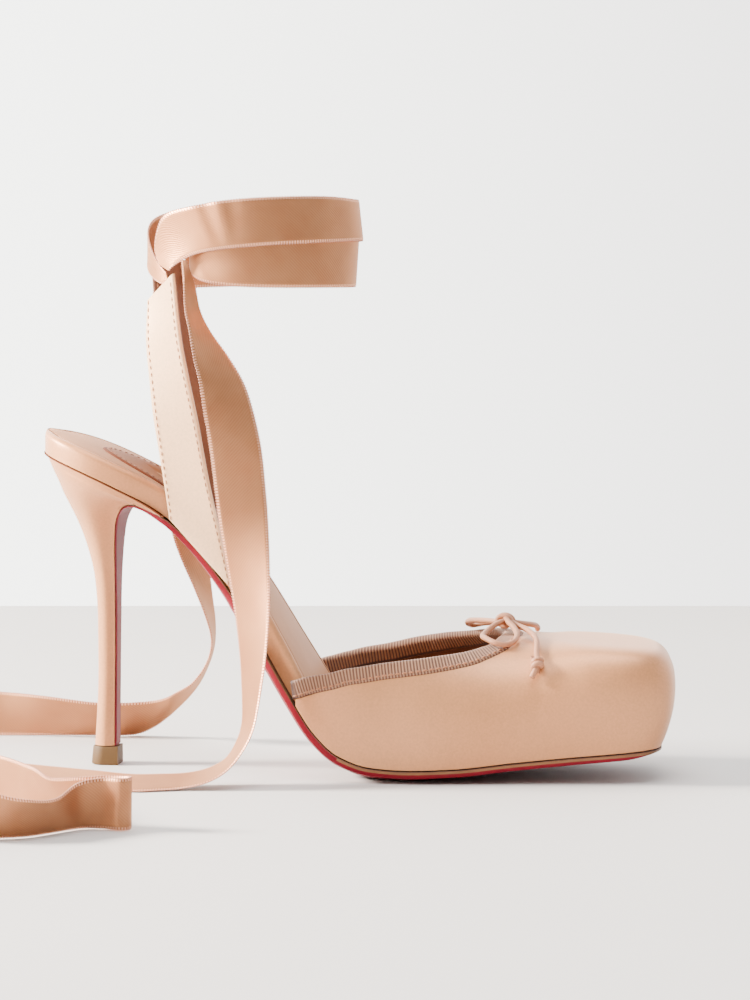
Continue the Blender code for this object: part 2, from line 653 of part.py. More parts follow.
# ---------------------------------------------------------------- footbed and sock
def footbed_ring():
    """Spine, outline, depth and inset of the wrapped board, from toe to the round back of the seat."""
    stations = sole_stations()
    seat = list(np.linspace(SEAT_END - 4.5, 5.0, 5))
    back = heel_stations(9)[::-1]
    x = np.array(stations + seat + [v for v in back if v < 2.0 and v > SEAT_BACK + 0.05])
    spine = Spine(np.stack([x, BOTTOM("height", x)], 1))
    ring = ring_of(spine.run, half_width(x, -1), half_width(x, 1))
    half = mirrored((half_width(x, -1) + half_width(x, 1)) / 2)
    return spine, ring, mirrored(FOOTBED("depth", x)), mirrored(FOOTBED("inset", x)), half


def footbed():
    """Insole board wrapped in satin, with a rolled rim round a shallow bed for the sock."""
    spine, ring, depth, inset, half = footbed_ring()
    tight = np.minimum(1, half / RIM_TIGHT)
    rings = [spine.place(drawn_in(ring, inset), 0 * depth)]
    rings += [spine.place(drawn_in(ring, inset + more * tight), depth - under) for more, under in RIM_SECTION]
    return stack("footbed", rings, (0.84, 0.64, 0.52), 0.4)


def sock_lining():
    """Thin leather sock in the footbed's bed."""
    spine, ring, depth, inset, half = footbed_ring()
    tight = np.minimum(1, half / RIM_TIGHT)
    rings = [spine.place(drawn_in(ring, inset + more * tight), depth - under) for more, under in SOCK_SECTION]
    return stack("sock_lining", rings, (0.55, 0.42, 0.36), 0.6)


# ---------------------------------------------------------------- vamp and collar
def vamp_stations(side):
    """Each station of one side as (section, last rise angle), from the waist to the toe's front."""
    column = "outer" if side < 0 else "inner"
    found = []
    for angle in (6, 14, 22, 29, 35, 38, 41, 44, 48, 53, 59, 66, 74, 82, 90):
        x = float(VAMP_EDGE(column, angle))
        found.append((lambda a, i, x=x: side_section(x, side, a, i), angle))
    for x in (145.0, 147.5):
        found.append((lambda a, i, x=x: side_section(x, side, a, i), 90))
    for outline in (90, 84, 76, 67, 58, 50, 42, 34, 27, 20, 12):
        found.append((lambda a, i, o=outline: toe_section(o, side, a, i), 90))
    return found


def vamp():
    """Hollow satin vamp: walls and top of the last, open underneath and at the throat."""
    rows = 12
    columns = vamp_stations(-1)
    columns += [(lambda a, i: toe_section(4, -1, a, i), 90), (lambda a, i: toe_section(4, 1, a, i), 90)]
    columns += vamp_stations(1)[::-1]
    outside, inside = [], []
    for section, last in columns:
        angles = even_angles(lambda a: section(np.radians(a), 0.0), last, rows)
        outside.append(section(np.radians(angles), 0.0))
        inside.append(section(np.radians(angles), WALL))
    solid = bmesh.new()
    outer_grid, inner_grid = put_grid(solid, outside), put_grid(solid, inside)
    put_faces(solid, outer_grid)
    put_faces(solid, inner_grid)
    for end in (0, -1):
        put_faces(solid, [outer_grid[end], inner_grid[end]])
    feather = [[column[0] for column in grid] for grid in (outer_grid, inner_grid)]
    put_faces(solid, feather)
    for span in throat_spans(columns):
        edge = [[grid[i][-1] for i in span] for grid in (outer_grid, inner_grid)]
        put_faces(solid, edge)
    bmesh.ops.remove_doubles(solid, verts=solid.verts, dist=1e-7)
    bmesh.ops.dissolve_degenerate(solid, edges=solid.edges, dist=1e-7)
    return add_object("vamp", solid, (0.86, 0.66, 0.54), 0.4)


def throat_spans(columns):
    """The runs of stations along the throat, where the two sides don't meet at the crest."""
    open_ones = [i for i, column in enumerate(columns) if column[1] < 90]
    first = [i for i in open_ones if i < len(columns) // 2]
    second = [i for i in open_ones if i >= len(columns) // 2]
    return first + [first[-1] + 1], [second[0] - 1] + second


def wall_place(x, angle, side, inset=0.0):
    return side_section(x, side, [math.radians(angle)], inset)[0]


def walk(x, angle, side, towards, distance):
    """Moves a point over the last's wall by distance, along a direction given at its start."""
    steps = 6
    for _ in range(steps):
        here = wall_place(x, angle, side)
        by_x = (wall_place(x + 0.2, angle, side) - here) / 0.2
        lean = -0.2 if angle > 45 else 0.2
        by_angle = (wall_place(x, angle + lean, side) - here) / lean
        move, *_ = np.linalg.lstsq(np.stack([by_x, by_angle], 1), towards * distance / steps, rcond=None)
        x += move[0]
        angle = min(max(angle + move[1], 0.5), 90.0)
    return x, angle


def collar_seam():
    """(x, rise angle, side) of points along the vamp's cut edge, from the outer to the inner waist."""
    rises = (1.5, 8, 15, 22, 29, 35, 38, 41, 44, 48, 53, 59, 66, 74, 82)
    outer = [(float(VAMP_EDGE("outer", a)), float(a), -1) for a in rises]
    inner = [(float(VAMP_EDGE("inner", a)), float(a), 1) for a in rises]
    return outer + [(float(VAMP_EDGE("outer", 90)), 90.0, -1)] + inner[::-1]


def collar_rows():
    """For each point of the seam, the wall's outside and inside at even steps up to the opening."""
    seam = collar_seam()
    points = np.array([wall_place(*place) for place in seam])
    inner_points = np.array([wall_place(*place, WALL) for place in seam])
    along = np.gradient(points, axis=0)
    outward = points - inner_points
    up = np.cross(outward, along)
    up /= np.linalg.norm(up, axis=1)[:, None]
    rows = []
    for place, direction in zip(seam, up):
        row = []
        for distance in (GAP, 0.5 * COLLAR_WIDTH, COLLAR_WIDTH):
            x, angle = walk(*place, direction, distance)
            row.append([wall_place(x, angle, place[2], inset) for inset in (0.0, WALL)])
        rows.append(row)
    return np.array(rows)


def collar():
    """Ribbed binding round the throat, a band as thick as the vamp and a little proud of it."""
    sections = []
    for low, middle, top in collar_rows():
        through = [pair[0] - pair[1] for pair in (low, middle, top)]
        through = [t / np.linalg.norm(t) for t in through]
        rise = (top[0] - middle[0]) / np.linalg.norm(top[0] - middle[0])
        proud = COLLAR_PROUD
        sections.append([
            low[0] + through[0] * proud,
            middle[0] + through[1] * (proud + 0.15),
            top[0] + through[2] * proud - rise * 0.5,
            top[0] - through[2] * 0.3,
            top[1] + through[2] * 0.3,
            top[1] - through[2] * 0.2 - rise * 0.5,
            middle[1] - through[1] * 0.25,
            low[1] - through[0] * 0.2,
        ])
    return loft("collar", np.array(sections), (0.42, 0.27, 0.2), 0.75)


# ---------------------------------------------------------------- straps, ribbon and bow
def threaded(names, rows, steps):
    """The named columns of a short table, each on a smooth curve through its rows."""
    rows = np.array(rows, float)
    ends = [2 * rows[0] - rows[1]], [2 * rows[-1] - rows[-2]]
    padded = np.concatenate([ends[0], rows, ends[1]])
    found = []
    for a, b, c, d in zip(padded, padded[1:], padded[2:], padded[3:]):
        for t in np.arange(steps) / steps:
            even = 2 * b + (c - a) * t
            found.append((even + (2 * a - 5 * b + 4 * c - d) * t**2 + (3 * b - a - 3 * c + d) * t**3) / 2)
    found.append(rows[-1])
    return dict(zip(names.split(), np.array(found).T))


def unit(vectors):
    return vectors / np.linalg.norm(vectors, axis=-1)[..., None]


def band(name, first, second, thickness, colour, roughness, middle=None):
    """A flat strip of cloth between two edge lines, rounded at its edges."""
    middle = (first + second) / 2 if middle is None else middle
    across = unit(second - first)
    out = unit(np.cross(np.gradient(middle, axis=0), across)) * thickness / 2
    step = across * thickness / 2
    sections = np.stack([
        first, first + step + out, middle + out, second - step + out,
        second, second - step - out, middle - out, first + step - out,
    ], 1)
    return loft(name, sections, colour, roughness)


def strap(name, rows):
    at = threaded(STRAP_COLUMNS, rows, 3)
    back = np.stack([at["back_x"], at["back_y"], at["back_z"]], 1)
    front = np.stack([at["front_x"], at["front_y"], at["front_z"]], 1)
    middle = (back + front) / 2
    middle[:, 2] = np.maximum(middle[:, 2], BOTTOM("height", middle[:, 0]) + 0.6)
    return band(name, back, front, STRAP_THICK, (0.86, 0.68, 0.56), 0.4, middle)


def turn_edge(at, which, lean):
    """One edge of a ribbon turn, off the ankle's ellipse by out and lean."""
    angle = np.radians(at[which + "_angle"])
    off = at["out"] + lean
    return np.stack([
        ANKLE_X + (ANKLE_LONG + off) * np.cos(angle),
        (ANKLE_WIDE + off) * np.sin(angle),
        at[which + "_z"],
    ], 1)


def ankle_turn(name, rows):
    at = threaded(TURN_COLUMNS, rows, 3)
    low, high = turn_edge(at, "low", 0.0), turn_edge(at, "high", at["lean"])
    return band(name, low, high, RIBBON_THICK, (0.82, 0.6, 0.46), 0.4)


def tail(name, rows):
    at = threaded(TAIL_COLUMNS, rows, 2)
    first = np.stack([at["ax"], at["ay"], at["az"]], 1)
    second = np.stack([at["bx"], at["by"], at["bz"]], 1)
    return band(name, first, second, RIBBON_THICK, (0.82, 0.6, 0.46), 0.4)


def cord(name, rows):
    """A round cord through its rows, each with its own radius."""
    at = threaded(CORD_COLUMNS, rows, 2)
    curve = bpy.data.curves.new(name, "CURVE")
    curve.dimensions = "3D"
    curve.bevel_depth = CORD * MM
    curve.bevel_resolution = 2
    curve.use_fill_caps = True
    spline = curve.splines.new("POLY")
    spline.points.add(len(at["x"]) - 1)
    for i, point in enumerate(spline.points):
        point.co = (at["x"][i] * MM, at["y"][i] * MM, at["z"][i] * MM, 1)
        point.radius = at["radius"][i] / CORD
    curve.materials.append(finish(name, (0.72, 0.52, 0.42), 0.5))
    bpy.data.collections["bow_pump"].objects.link(bpy.data.objects.new(name, curve))


def clear_scene():
    for obj in list(bpy.data.objects):
        bpy.data.objects.remove(obj, do_unlink=True)
    parts = bpy.data.collections.new("bow_pump")
    bpy.context.scene.collection.children.link(parts)


clear_scene()
outsole()
heel()
top_piece()
footbed()
sock_lining()
vamp()
collar()
strap("strap_outer", STRAP_OUTER)
strap("strap_inner", STRAP_INNER)
ankle_turn("ankle_turn_upper", TURN_UPPER)
ankle_turn("ankle_turn_lower", TURN_LOWER)
tail("tail_outer", TAIL_OUTER)
tail("tail_inner", TAIL_INNER)
cord("bow_knot", BOW_KNOT)
cord("bow_loop_outer", BOW_LOOP_OUTER)
cord("bow_loop_inner", BOW_LOOP_INNER)
cord("bow_end_outer", BOW_END_OUTER)
cord("bow_end_inner", BOW_END_INNER)
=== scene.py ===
# %% [markdown]
# # A satin bow pump
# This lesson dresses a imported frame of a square-toe satin mule pump. The frame gives the place and
# size of every piece; here each piece is made again with the detail that a hand would feel: ribs,
# stitches, picot edges, a rolled insole rim and a tied leather cord.

# %% Load the frame
import functools
import math

import bmesh
import bpy
import numpy as np
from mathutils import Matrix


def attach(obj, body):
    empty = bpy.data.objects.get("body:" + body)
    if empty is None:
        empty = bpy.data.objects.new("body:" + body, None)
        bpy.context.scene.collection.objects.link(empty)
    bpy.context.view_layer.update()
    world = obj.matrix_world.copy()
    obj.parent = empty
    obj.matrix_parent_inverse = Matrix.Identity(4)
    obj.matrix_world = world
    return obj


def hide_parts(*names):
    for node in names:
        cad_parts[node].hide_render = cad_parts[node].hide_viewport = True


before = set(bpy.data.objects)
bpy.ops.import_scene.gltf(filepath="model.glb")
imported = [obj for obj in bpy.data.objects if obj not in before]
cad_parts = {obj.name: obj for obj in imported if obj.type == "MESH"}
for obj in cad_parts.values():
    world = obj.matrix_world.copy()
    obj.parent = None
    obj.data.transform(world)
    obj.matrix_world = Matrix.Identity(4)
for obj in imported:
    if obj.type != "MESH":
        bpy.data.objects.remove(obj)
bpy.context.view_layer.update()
MM = 0.001

# %% [markdown]
# ## Camera
# The shoe is seen from its outer side, a little from the front, from just over its own height. A
# long lens keeps the heel and the toe in nearly true proportion.

# %% Camera
CAMERA_PLACE = (0.2868, -1.4359, 0.206)
CAMERA_PITCH, CAMERA_TURN = math.radians(90 - 4.56), math.radians(7.75)
SHOE_MIDDLE = (0.085, 0, 0.09)


def put_object(name, data):
    """A new object in the scene that shows this mesh, curve, camera or light."""
    thing = bpy.data.objects.new(name, data)
    bpy.context.scene.collection.objects.link(thing)
    return thing


camera_data = bpy.data.cameras.new("camera")
camera_data.lens, camera_data.sensor_width = 156.6, 36
camera = put_object("camera", camera_data)
camera.location = CAMERA_PLACE
camera.rotation_euler = (CAMERA_PITCH, 0, CAMERA_TURN)
bpy.context.scene.camera = camera
print("camera stands", round(math.dist(CAMERA_PLACE, SHOE_MIDDLE), 2), "m from the shoe")

# %% [markdown]
# ## Tables read by name
# A last has no straight line in it, so its sizes are kept as short tables: one row per section and
# a named column for each size. A monotone curve between the rows gives a smooth surface that never
# swings past the numbers, which an ordinary spline would.


# %% Tables
class Table:
    """Rows of named columns, read at any value of the first column."""

    def __init__(self, names, rows):
        self.names = names.split()
        self.rows = np.array(rows, float)

    def __call__(self, name, at):
        keys, values = self.rows[:, 0], self.rows[:, self.names.index(name)]
        steps = np.diff(keys)
        rates = np.diff(values) / steps
        slopes = np.empty(len(keys))
        slopes[0], slopes[-1] = rates[0], rates[-1]
        for i in range(1, len(keys) - 1):
            before, after = rates[i - 1], rates[i]
            if before * after <= 0:
                slopes[i] = 0.0
                continue
            w1, w2 = 2 * steps[i] + steps[i - 1], steps[i] + 2 * steps[i - 1]
            slopes[i] = (w1 + w2) / (w1 / before + w2 / after)
        at = np.clip(np.asarray(at, float), keys[0], keys[-1])
        i = np.clip(np.searchsorted(keys, at, side="right") - 1, 0, len(steps) - 1)
        t = (at - keys[i]) / steps[i]
        return (
            values[i] * (1 + 2 * t) * (1 - t) ** 2
            + slopes[i] * steps[i] * t * (1 - t) ** 2
            + values[i + 1] * t * t * (3 - 2 * t)
            + slopes[i + 1] * steps[i] * t * t * (t - 1)
        )


def threaded(rows, steps):
    """A smooth curve through every row of numbers, with this many steps between rows."""
    rows = np.array(rows, float)
    padded = np.concatenate([[2 * rows[0] - rows[1]], rows, [2 * rows[-1] - rows[-2]]])
    found = []
    for a, b, c, d in zip(padded, padded[1:], padded[2:], padded[3:]):
        for t in np.arange(steps) / steps:
            bend = (2 * a - 5 * b + 4 * c - d) * t**2
            found.append((2 * b + (c - a) * t + bend + (3 * b - a - 3 * c + d) * t**3) / 2)
    return np.array(found + [rows[-1]])


def unit(vectors):
    return vectors / np.linalg.norm(vectors, axis=-1)[..., None]


def run_of(line):
    """Distance along a line of points, from its start."""
    legs = np.linalg.norm(np.diff(line, axis=0), axis=1)
    return np.concatenate([[0], np.cumsum(legs)])


def read_along(line, run, at):
    """The points of a line at these distances along it."""
    return np.stack([np.interp(at, run, column) for column in line.T], 1)


def even_steps(lines, spacing):
    """Several lines that share a middle run, read again at even steps along the first."""
    run = run_of(lines[0])
    at = np.linspace(0, run[-1], max(2, round(run[-1] / spacing)) + 1)
    return [read_along(line, run, at) for line in lines], at


# %% [markdown]
# ## Cloth as a grid
# Every piece is a grid of points: along its length and across or round it. A point can also keep
# numbers, such as how far along the cloth it lies, so that a weave is drawn at its true size
# wherever the cloth turns. All sizes are in millimetres.


# %% Mesh helpers
def start_mesh(*layers):
    """A mesh in the making; each named layer keeps one more number on every point."""
    solid = bmesh.new()
    for name in layers:
        solid.verts.layers.float.new(name)
    return solid


def put_grid(solid, points, **values):
    """Rows of points; values give each layer's numbers, row by row."""
    grid = [[solid.verts.new(np.asarray(point) * MM) for point in row] for row in points]
    for name, rows in values.items():
        layer = solid.verts.layers.float[name]
        for line, numbers in zip(grid, rows):
            for vertex, number in zip(line, numbers):
                vertex[layer] = float(number)
    return grid


def put_faces(solid, grid, finish=0, around=False):
    """Quads between the rows; finish is one slot, or a table of slots that spreads over the quads."""
    strips = len(grid[0]) if around else len(grid[0]) - 1
    slots = np.broadcast_to(finish, (len(grid) - 1, strips))
    for a, b, row in zip(grid, grid[1:], slots):
        for j, slot in enumerate(row):
            k = (j + 1) % len(a)
            corners = list(dict.fromkeys((a[j], a[k], b[k], b[j])))
            if len(corners) > 2:
                solid.faces.new(corners).material_index = int(slot)


def put_tube(solid, sections, finish=0, caps=(0, 0), quads=False, **values):
    """Closed sections with a skin round them; each end is one face, or quads straight across."""
    grid = put_grid(solid, sections, **values)
    put_faces(solid, grid, finish, around=True)
    for ring, slot in zip((grid[0], grid[-1]), caps):
        half = (len(ring) + 1) // 2
        if quads:
            put_faces(solid, [ring[:half], ring[::-1][:half]], slot)
        else:
            solid.faces.new(ring).material_index = slot


def on_shoe(name, data, nodes):
    """A piece that rides on the shoe and stands for its CAD nodes."""
    piece = put_object(name, data)
    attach(piece, "root")
    if nodes:
        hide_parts(*nodes)
    return piece


def settle(name, solid, finishes, nodes=(), sharp=50, weld=0.0):
    """Turns the mesh into a piece; edges sharper than so many degrees stay crisp."""
    if weld:
        bmesh.ops.remove_doubles(solid, verts=solid.verts, dist=weld * MM)
        bmesh.ops.dissolve_degenerate(solid, edges=solid.edges, dist=1e-7)
    bmesh.ops.recalc_face_normals(solid, faces=solid.faces)
    mesh = bpy.data.meshes.new(name)
    solid.to_mesh(mesh)
    solid.free()
    mesh.shade_smooth()
    mesh.set_sharp_from_angle(angle=math.radians(sharp))
    for finish in finishes:
        mesh.materials.append(finish)
    print(name, len(mesh.polygons), "faces")
    return on_shoe(name, mesh, nodes)


# columns: share of the stitch's length, swell and height of the thread
STITCH = np.array([
    (0, 0.2, -1), (0.1, 0.8, -0.3), (0.3, 1, 0.2), (0.7, 1, 0.2), (0.9, 0.8, -0.3), (1, 0.2, -1),
])
PICOT = np.array([(0, 0.3, -0.2), (0.35, 1, 0.1), (0.65, 1, 0.1), (1, 0.3, -0.2)])
THREAD_STEP = 0.25


def sewn(solid, line, outward, stitch, finish, form=STITCH, sides=6):
    """Short rounded threads along a line; stitch gives each one's length, the gap and the radius."""
    length, gap, radius = stitch
    (line, outward), at = even_steps([line, outward], THREAD_STEP)
    outward = unit(outward)
    turn = np.linspace(0, 2 * math.pi, sides, endpoint=False)[:, None]
    for start in np.arange(gap / 2, at[-1] - length, length + gap):
        reach = start + length * form[:, 0]
        centre, out = read_along(line, at, reach), unit(read_along(outward, at, reach))
        side = unit(np.cross(unit(np.gradient(centre, axis=0)), out))
        rings = [
            c + o * d + r * (np.cos(turn) * s + np.sin(turn) * o)
            for c, o, s, r, d in zip(centre, out, side, radius * form[:, 1], radius * form[:, 2])
        ]
        put_tube(solid, rings, finish, (finish, finish))


# %% [markdown]
# ## Colour and nodes
# Colours are written as the hex values that a colour picker shows, and one function turns them into
# the linear light that the shader needs. One more adds any node with its settings and links, and
# the rest are its commonest uses.


# %% Node helpers
def hex_colour(code, dim=1.0):
    channels = [int(code[i : i + 2], 16) / 255 for i in (0, 2, 4)]
    light = [c / 12.92 if c <= 0.04045 else ((c + 0.055) / 1.055) ** 2.4 for c in channels]
    return (*(dim * c for c in light), 1.0)


def fill(tree, node, inputs):
    """Sets or links a node's inputs; text is a colour's hex value."""
    for socket, value in inputs.items():
        if isinstance(value, bpy.types.NodeSocket):
            tree.links.new(value, node.inputs[socket])
        else:
            node.inputs[socket].default_value = hex_colour(value) if isinstance(value, str) else value


def add(tree, kind, output, inputs=None, **settings):
    """Adds a node, sets its properties, fills its inputs and gives one of its outputs."""
    node = tree.nodes.new("ShaderNode" + kind)
    for name, value in settings.items():
        setattr(node, name, value)
    fill(tree, node, inputs or {})
    return node.outputs[output]


def noise(tree, place, scale, detail):
    return add(tree, "TexNoise", "Fac", {"Vector": place, "Scale": scale, "Detail": detail})


def calc(tree, operation, *values):
    return add(tree, "Math", "Value", dict(enumerate(values)), operation=operation)


def mixed(tree, factor, first, second, blend_type="MIX"):
    inputs = {0: factor, 6: first, 7: second}
    return add(tree, "Mix", 2, inputs, data_type="RGBA", blend_type=blend_type)


def ramp(tree, factor, *stops):
    """Colours along a factor; each stop is its place and hex value, and how far it is dimmed."""
    colour = add(tree, "ValToRGB", "Color", {"Fac": factor})
    elements = colour.node.color_ramp.elements
    while len(elements) < len(stops):
        elements.new(0.5)
    for element, (place, *shade) in zip(elements, stops):
        element.position = place
        element.color = hex_colour(*shade)
    return colour


def new_finish(name, **constants):
    """A material with its shader's constant values set, and its tree and shader to build on."""
    material = bpy.data.materials.new(name)
    material.use_nodes = True
    tree = material.node_tree
    shader = tree.nodes["Principled BSDF"]
    fill(tree, shader, {socket.replace("_", " "): value for socket, value in constants.items()})
    return material, tree, shader


def surface(tree, shader, colour, height, strength, distance):
    """Gives the shader its colour and a bump."""
    bump = add(tree, "Bump", "Normal", {"Height": height, "Strength": strength, "Distance": distance})
    fill(tree, shader, {"Base Color": colour, "Normal": bump})


# %% [markdown]
# ## Finishes
# Most of the shoe is satin: a weave whose long floating threads lie side by side, so it shines in
# a broad soft band and not in a point. The vamp, footbed and heel wear a fine duchess satin; the
# straps wear the same satin in a paler copy, which is a painted highlight. The ankle ribbon is a
# double-face satin with a diagonal twill and a picot edge.


# %% Satin of the upper
def duchess_satin(name, low, high, roughness):
    """Polyester satin of about 0.1 mm threads: too fine to show, so a 0.45 mm slub stands for it."""
    material, tree, shader = new_finish(
        name, Roughness=roughness, IOR=1.5, Metallic=0.25,
        Sheen_Weight=0.24, Sheen_Roughness=0.4, Sheen_Tint="FFE3CF",
    )
    place = add(tree, "TexCoord", "Object")
    slub = noise(tree, place, 1300.0, 2.0)
    base = ramp(tree, noise(tree, place, 14.0, 2.0), (0.3, low), (0.7, high))
    thread = ramp(tree, slub, (0.3, "F1F1F1"), (0.7, "FFFFFF"))
    surface(tree, shader, mixed(tree, 1.0, base, thread, "MULTIPLY"), slub, 0.06, 0.0003)
    return material


SATIN = duchess_satin("duchess_satin", "CC8A5A", "D29466", 0.44)
# The straps' satin is the same cloth made paler: a painted highlight where the straps face the light.
STRAP_SATIN_PAINTED_BRIGHT = duchess_satin("strap_satin_painted_highlight", "FFCC9C", "FFD4A8", 0.38)

# %% [markdown]
# The ribbon's twill is drawn from the distances kept on its points. Threads are 0.25 mm apart on the
# real ribbon, which is finer than a render shows, so the drawn lines lie 0.75 mm apart.

# %% Satin ribbon
RIBBON_WIDTH, SELVAGE = 16.0, 0.9
TWILL_PITCH = 0.75
TWILL_SCALE = 2 * math.pi / 10 / (TWILL_PITCH * math.sqrt(2))
PICOT_LONG, PICOT_GAP, PICOT_DARK = 0.58, 0.36, 0.4


def ribbon_satin():
    """Twill over most of the width, and a bound selvage under the picots at both edges."""
    material, tree, shader = new_finish(
        "double_face_satin_ribbon", Roughness=0.42, IOR=1.5, Metallic=0.55, Specular_Tint="F0C8A6",
        Sheen_Weight=0.04, Sheen_Roughness=0.45, Sheen_Tint="FFE0C8",
    )
    along, across = (add(tree, "Attribute", "Fac", attribute_name=name) for name in ("along", "across"))
    flat = add(tree, "CombineXYZ", "Vector", {"X": along, "Y": across})
    twill = add(
        tree, "TexWave", "Fac", {"Vector": flat, "Scale": TWILL_SCALE, "Distortion": 0.6, "Detail": 1.0},
        wave_type="BANDS", bands_direction="DIAGONAL",
    )
    base = ramp(tree, noise(tree, flat, 0.09, 2.0), (0.25, "AE7450"), (0.75, "B8805A"))
    lines = ramp(tree, twill, (0.0, "ECECEC"), (1.0, "FFFFFF"))
    woven = mixed(tree, 1.0, base, lines, "MULTIPLY")
    edge = calc(tree, "GREATER_THAN", calc(tree, "ABSOLUTE", across), RIBBON_WIDTH / 2 - SELVAGE)
    phase = calc(tree, "FLOORED_MODULO", along, PICOT_LONG + PICOT_GAP)
    bound = ramp(tree, calc(tree, "LESS_THAN", phase, PICOT_DARK), (0.0, "E8B090"), (1.0, "A86848"))
    surface(tree, shader, mixed(tree, edge, woven, bound), twill, 0.25, 0.0001)
    return material


def plain_thread(name, code):
    """Spun thread, matt and a little fuzzy: a sheen and a fine bump."""
    material, tree, shader = new_finish(name, Roughness=0.6, Sheen_Weight=0.15)
    fuzz = noise(tree, add(tree, "TexCoord", "Object"), 3000.0, 1.0)
    surface(tree, shader, code, fuzz, 0.2, 0.0001)
    return material


RIBBON = ribbon_satin()
PICOT_THREAD = plain_thread("picot_thread", "CC947E")
SEWING_THREAD = plain_thread("sewing_thread", "A86C48")
PAD_THREAD = plain_thread("pad_thread", "6E3A20")

# %% [markdown]
# ## Leathers, grosgrain and rubber
# Leather is matt with a pebbled grain of about half a millimetre; the sole is the same hide under a
# thin red lacquer. Grosgrain is ribbed by its weave: the ribs are modelled, and its finish paints
# shade into the grooves and a highlight on the rib tops, and adds the fine threads between them.


# %% Leather finishes
def leather(name, low, high, roughness, grain_mm, strength, **constants):
    """Tanned hide: two tones in its grain, and a bump of cells as wide as grain_mm."""
    material, tree, shader = new_finish(name, Roughness=roughness, IOR=1.48, **constants)
    place = add(tree, "TexCoord", "Object")
    cells = add(tree, "TexVoronoi", "Distance", {"Vector": place, "Scale": 1000 / grain_mm})
    tone = ramp(tree, noise(tree, place, 60.0, 3.0), (0.3, low), (0.7, high))
    surface(tree, shader, tone, cells, strength, 0.0002)
    return material


KID = dict(roughness=0.6, grain_mm=0.5, strength=0.12, Specular_IOR_Level=0.25)
SOCK_LEATHER = leather("kid_leather_sock", "B88058", "C28A64", **KID)
PAD_LEATHER = leather("kid_leather_pad", "925A38", "9C6442", **KID)
SOLE_LACQUER = leather(
    "lacquered_red_leather", "6C0618", "7A0A20", 0.5, 0.8, 0.05, Specular_IOR_Level=0.15,
)
EDGE_DYE = leather("dyed_sole_edge", "4E2C18", "5C3820", 0.45, 0.4, 0.2)
# A dark brown for the thin lines at the heel's top, the footbed's rim and the pad's edge.
SEAM_DARK = leather("dark_seam_line", "5A2C18", "6C3820", 0.6, 0.4, 0.2, Specular_IOR_Level=0.15)
EDGE_GOLD = leather("rubbed_sole_edge", "6E4220", "8C5E34", 0.42, 0.4, 0.25)
BROWN_LINING = leather("brown_kid_lining", "5C3422", "68402C", 0.55, 0.5, 0.15)
CORD_LEATHER = leather("tan_leather_cord", "B07656", "BC8464", 0.5, 0.35, 0.2)
STRAP_LINING = leather("tan_kid_lining", "6A3A22", "76462C", 0.5, 0.5, 0.15, Sheen_Weight=0.15)
TIP_RUBBER = leather("khaki_rubber", "50381A", "5C4222", 0.6, 0.3, 0.25, Specular_IOR_Level=0.3)


def grosgrain():
    """Cotton-and-rayon grosgrain, with painted shade in the grooves and a painted highlight on the rib
    tops.
    """
    material, tree, shader = new_finish("grosgrain", Roughness=0.62, Sheen_Weight=0.3)
    rise = add(tree, "Attribute", "Fac", attribute_name="rib")
    # painted shade: the lower the rib value, the darker, so the grooves, the smooth inside edge and the
    # plain ends are darkest; the rib tops get a painted highlight
    tone = ramp(tree, rise, (0.0, "422419"), (0.45, "7A5038"), (1.0, "A87C5E"))
    fuzz = noise(tree, add(tree, "TexCoord", "Object"), 2500.0, 2.0)
    surface(tree, shader, tone, fuzz, 0.2, 0.0001)
    return material


GROSGRAIN = grosgrain()
print("finishes:", [m.name for m in bpy.data.materials])


# %% [markdown]
# ## The ribbon
# A ribbon is kept as two edge lines. Between them it has a rounded section, and every point keeps
# its distance along and across the weave. The picots, small loops of thread along both edges, are
# real beads of mesh, because they catch the light one by one.

# %% Ribbon as a band
RIBBON_THICK, RIBBON_COLUMNS, RIBBON_STEP = 0.6, 11, 1.5
PICOT_RADIUS, PICOT_SIDES = 0.26, 5


def strip_rings(first, second, middle, thickness, columns):
    """Closed sections of a flat strip, over one face from edge to edge and back under the other;
    returns them with each column's place across, from -1 to 1, and the way its face looks."""
    width = np.linalg.norm(second - first, axis=1)
    out = unit(np.cross(np.gradient(middle, axis=0), unit(second - first)))
    share = (1 - np.cos(np.linspace(0, math.pi, columns))) / 2
    share = np.concatenate([share, share[-2:0:-1]])
    side = np.where(np.arange(len(share)) < columns, 1.0, -1.0)
    rise = middle - (first + second) / 2
    depth = np.minimum(share, 1 - share) * width[:, None] / (thickness / 2)
    swell = side * np.sqrt(1 - (1 - np.clip(depth, 0, 1)) ** 2)
    rings = (
        first[:, None] * (1 - share)[:, None]
        + second[:, None] * share[:, None]
        + rise[:, None] * (4 * share * (1 - share))[:, None]
        + (out * thickness / 2)[:, None] * swell[:, :, None]
    )
    return rings, 2 * share - 1, out


def ribbon_band(name, first, second, node):
    """A picot-edged ribbon between two edge lines; returns it with its centre line."""
    (middle, first, second), at = even_steps([(first + second) / 2, first, second], RIBBON_STEP)
    rings, share, _ = strip_rings(first, second, middle, RIBBON_THICK, RIBBON_COLUMNS)
    solid = start_mesh("along", "across")
    along = np.broadcast_to(at[:, None], rings.shape[:2])
    across = np.broadcast_to(share * RIBBON_WIDTH / 2, rings.shape[:2])
    put_tube(solid, rings, along=along, across=across)
    for edge, other in ((first, second), (second, first)):
        sewn(solid, edge, edge - other, (PICOT_LONG, PICOT_GAP, PICOT_RADIUS), 1, PICOT, PICOT_SIDES)
    return settle(name, solid, (RIBBON, PICOT_THREAD), (node,)), middle


# %% [markdown]
# ## The two loose ends
# The ribbon is tied behind the ankle and both ends fall to the floor. A ribbon this light bends
# easily across its face and hardly at all across its width, so where it meets the floor it stands
# on one edge and wanders, and only a pull lays it flat. The outer end runs along the floor, leaves
# the view at the left, turns, and comes back in a fold in front.

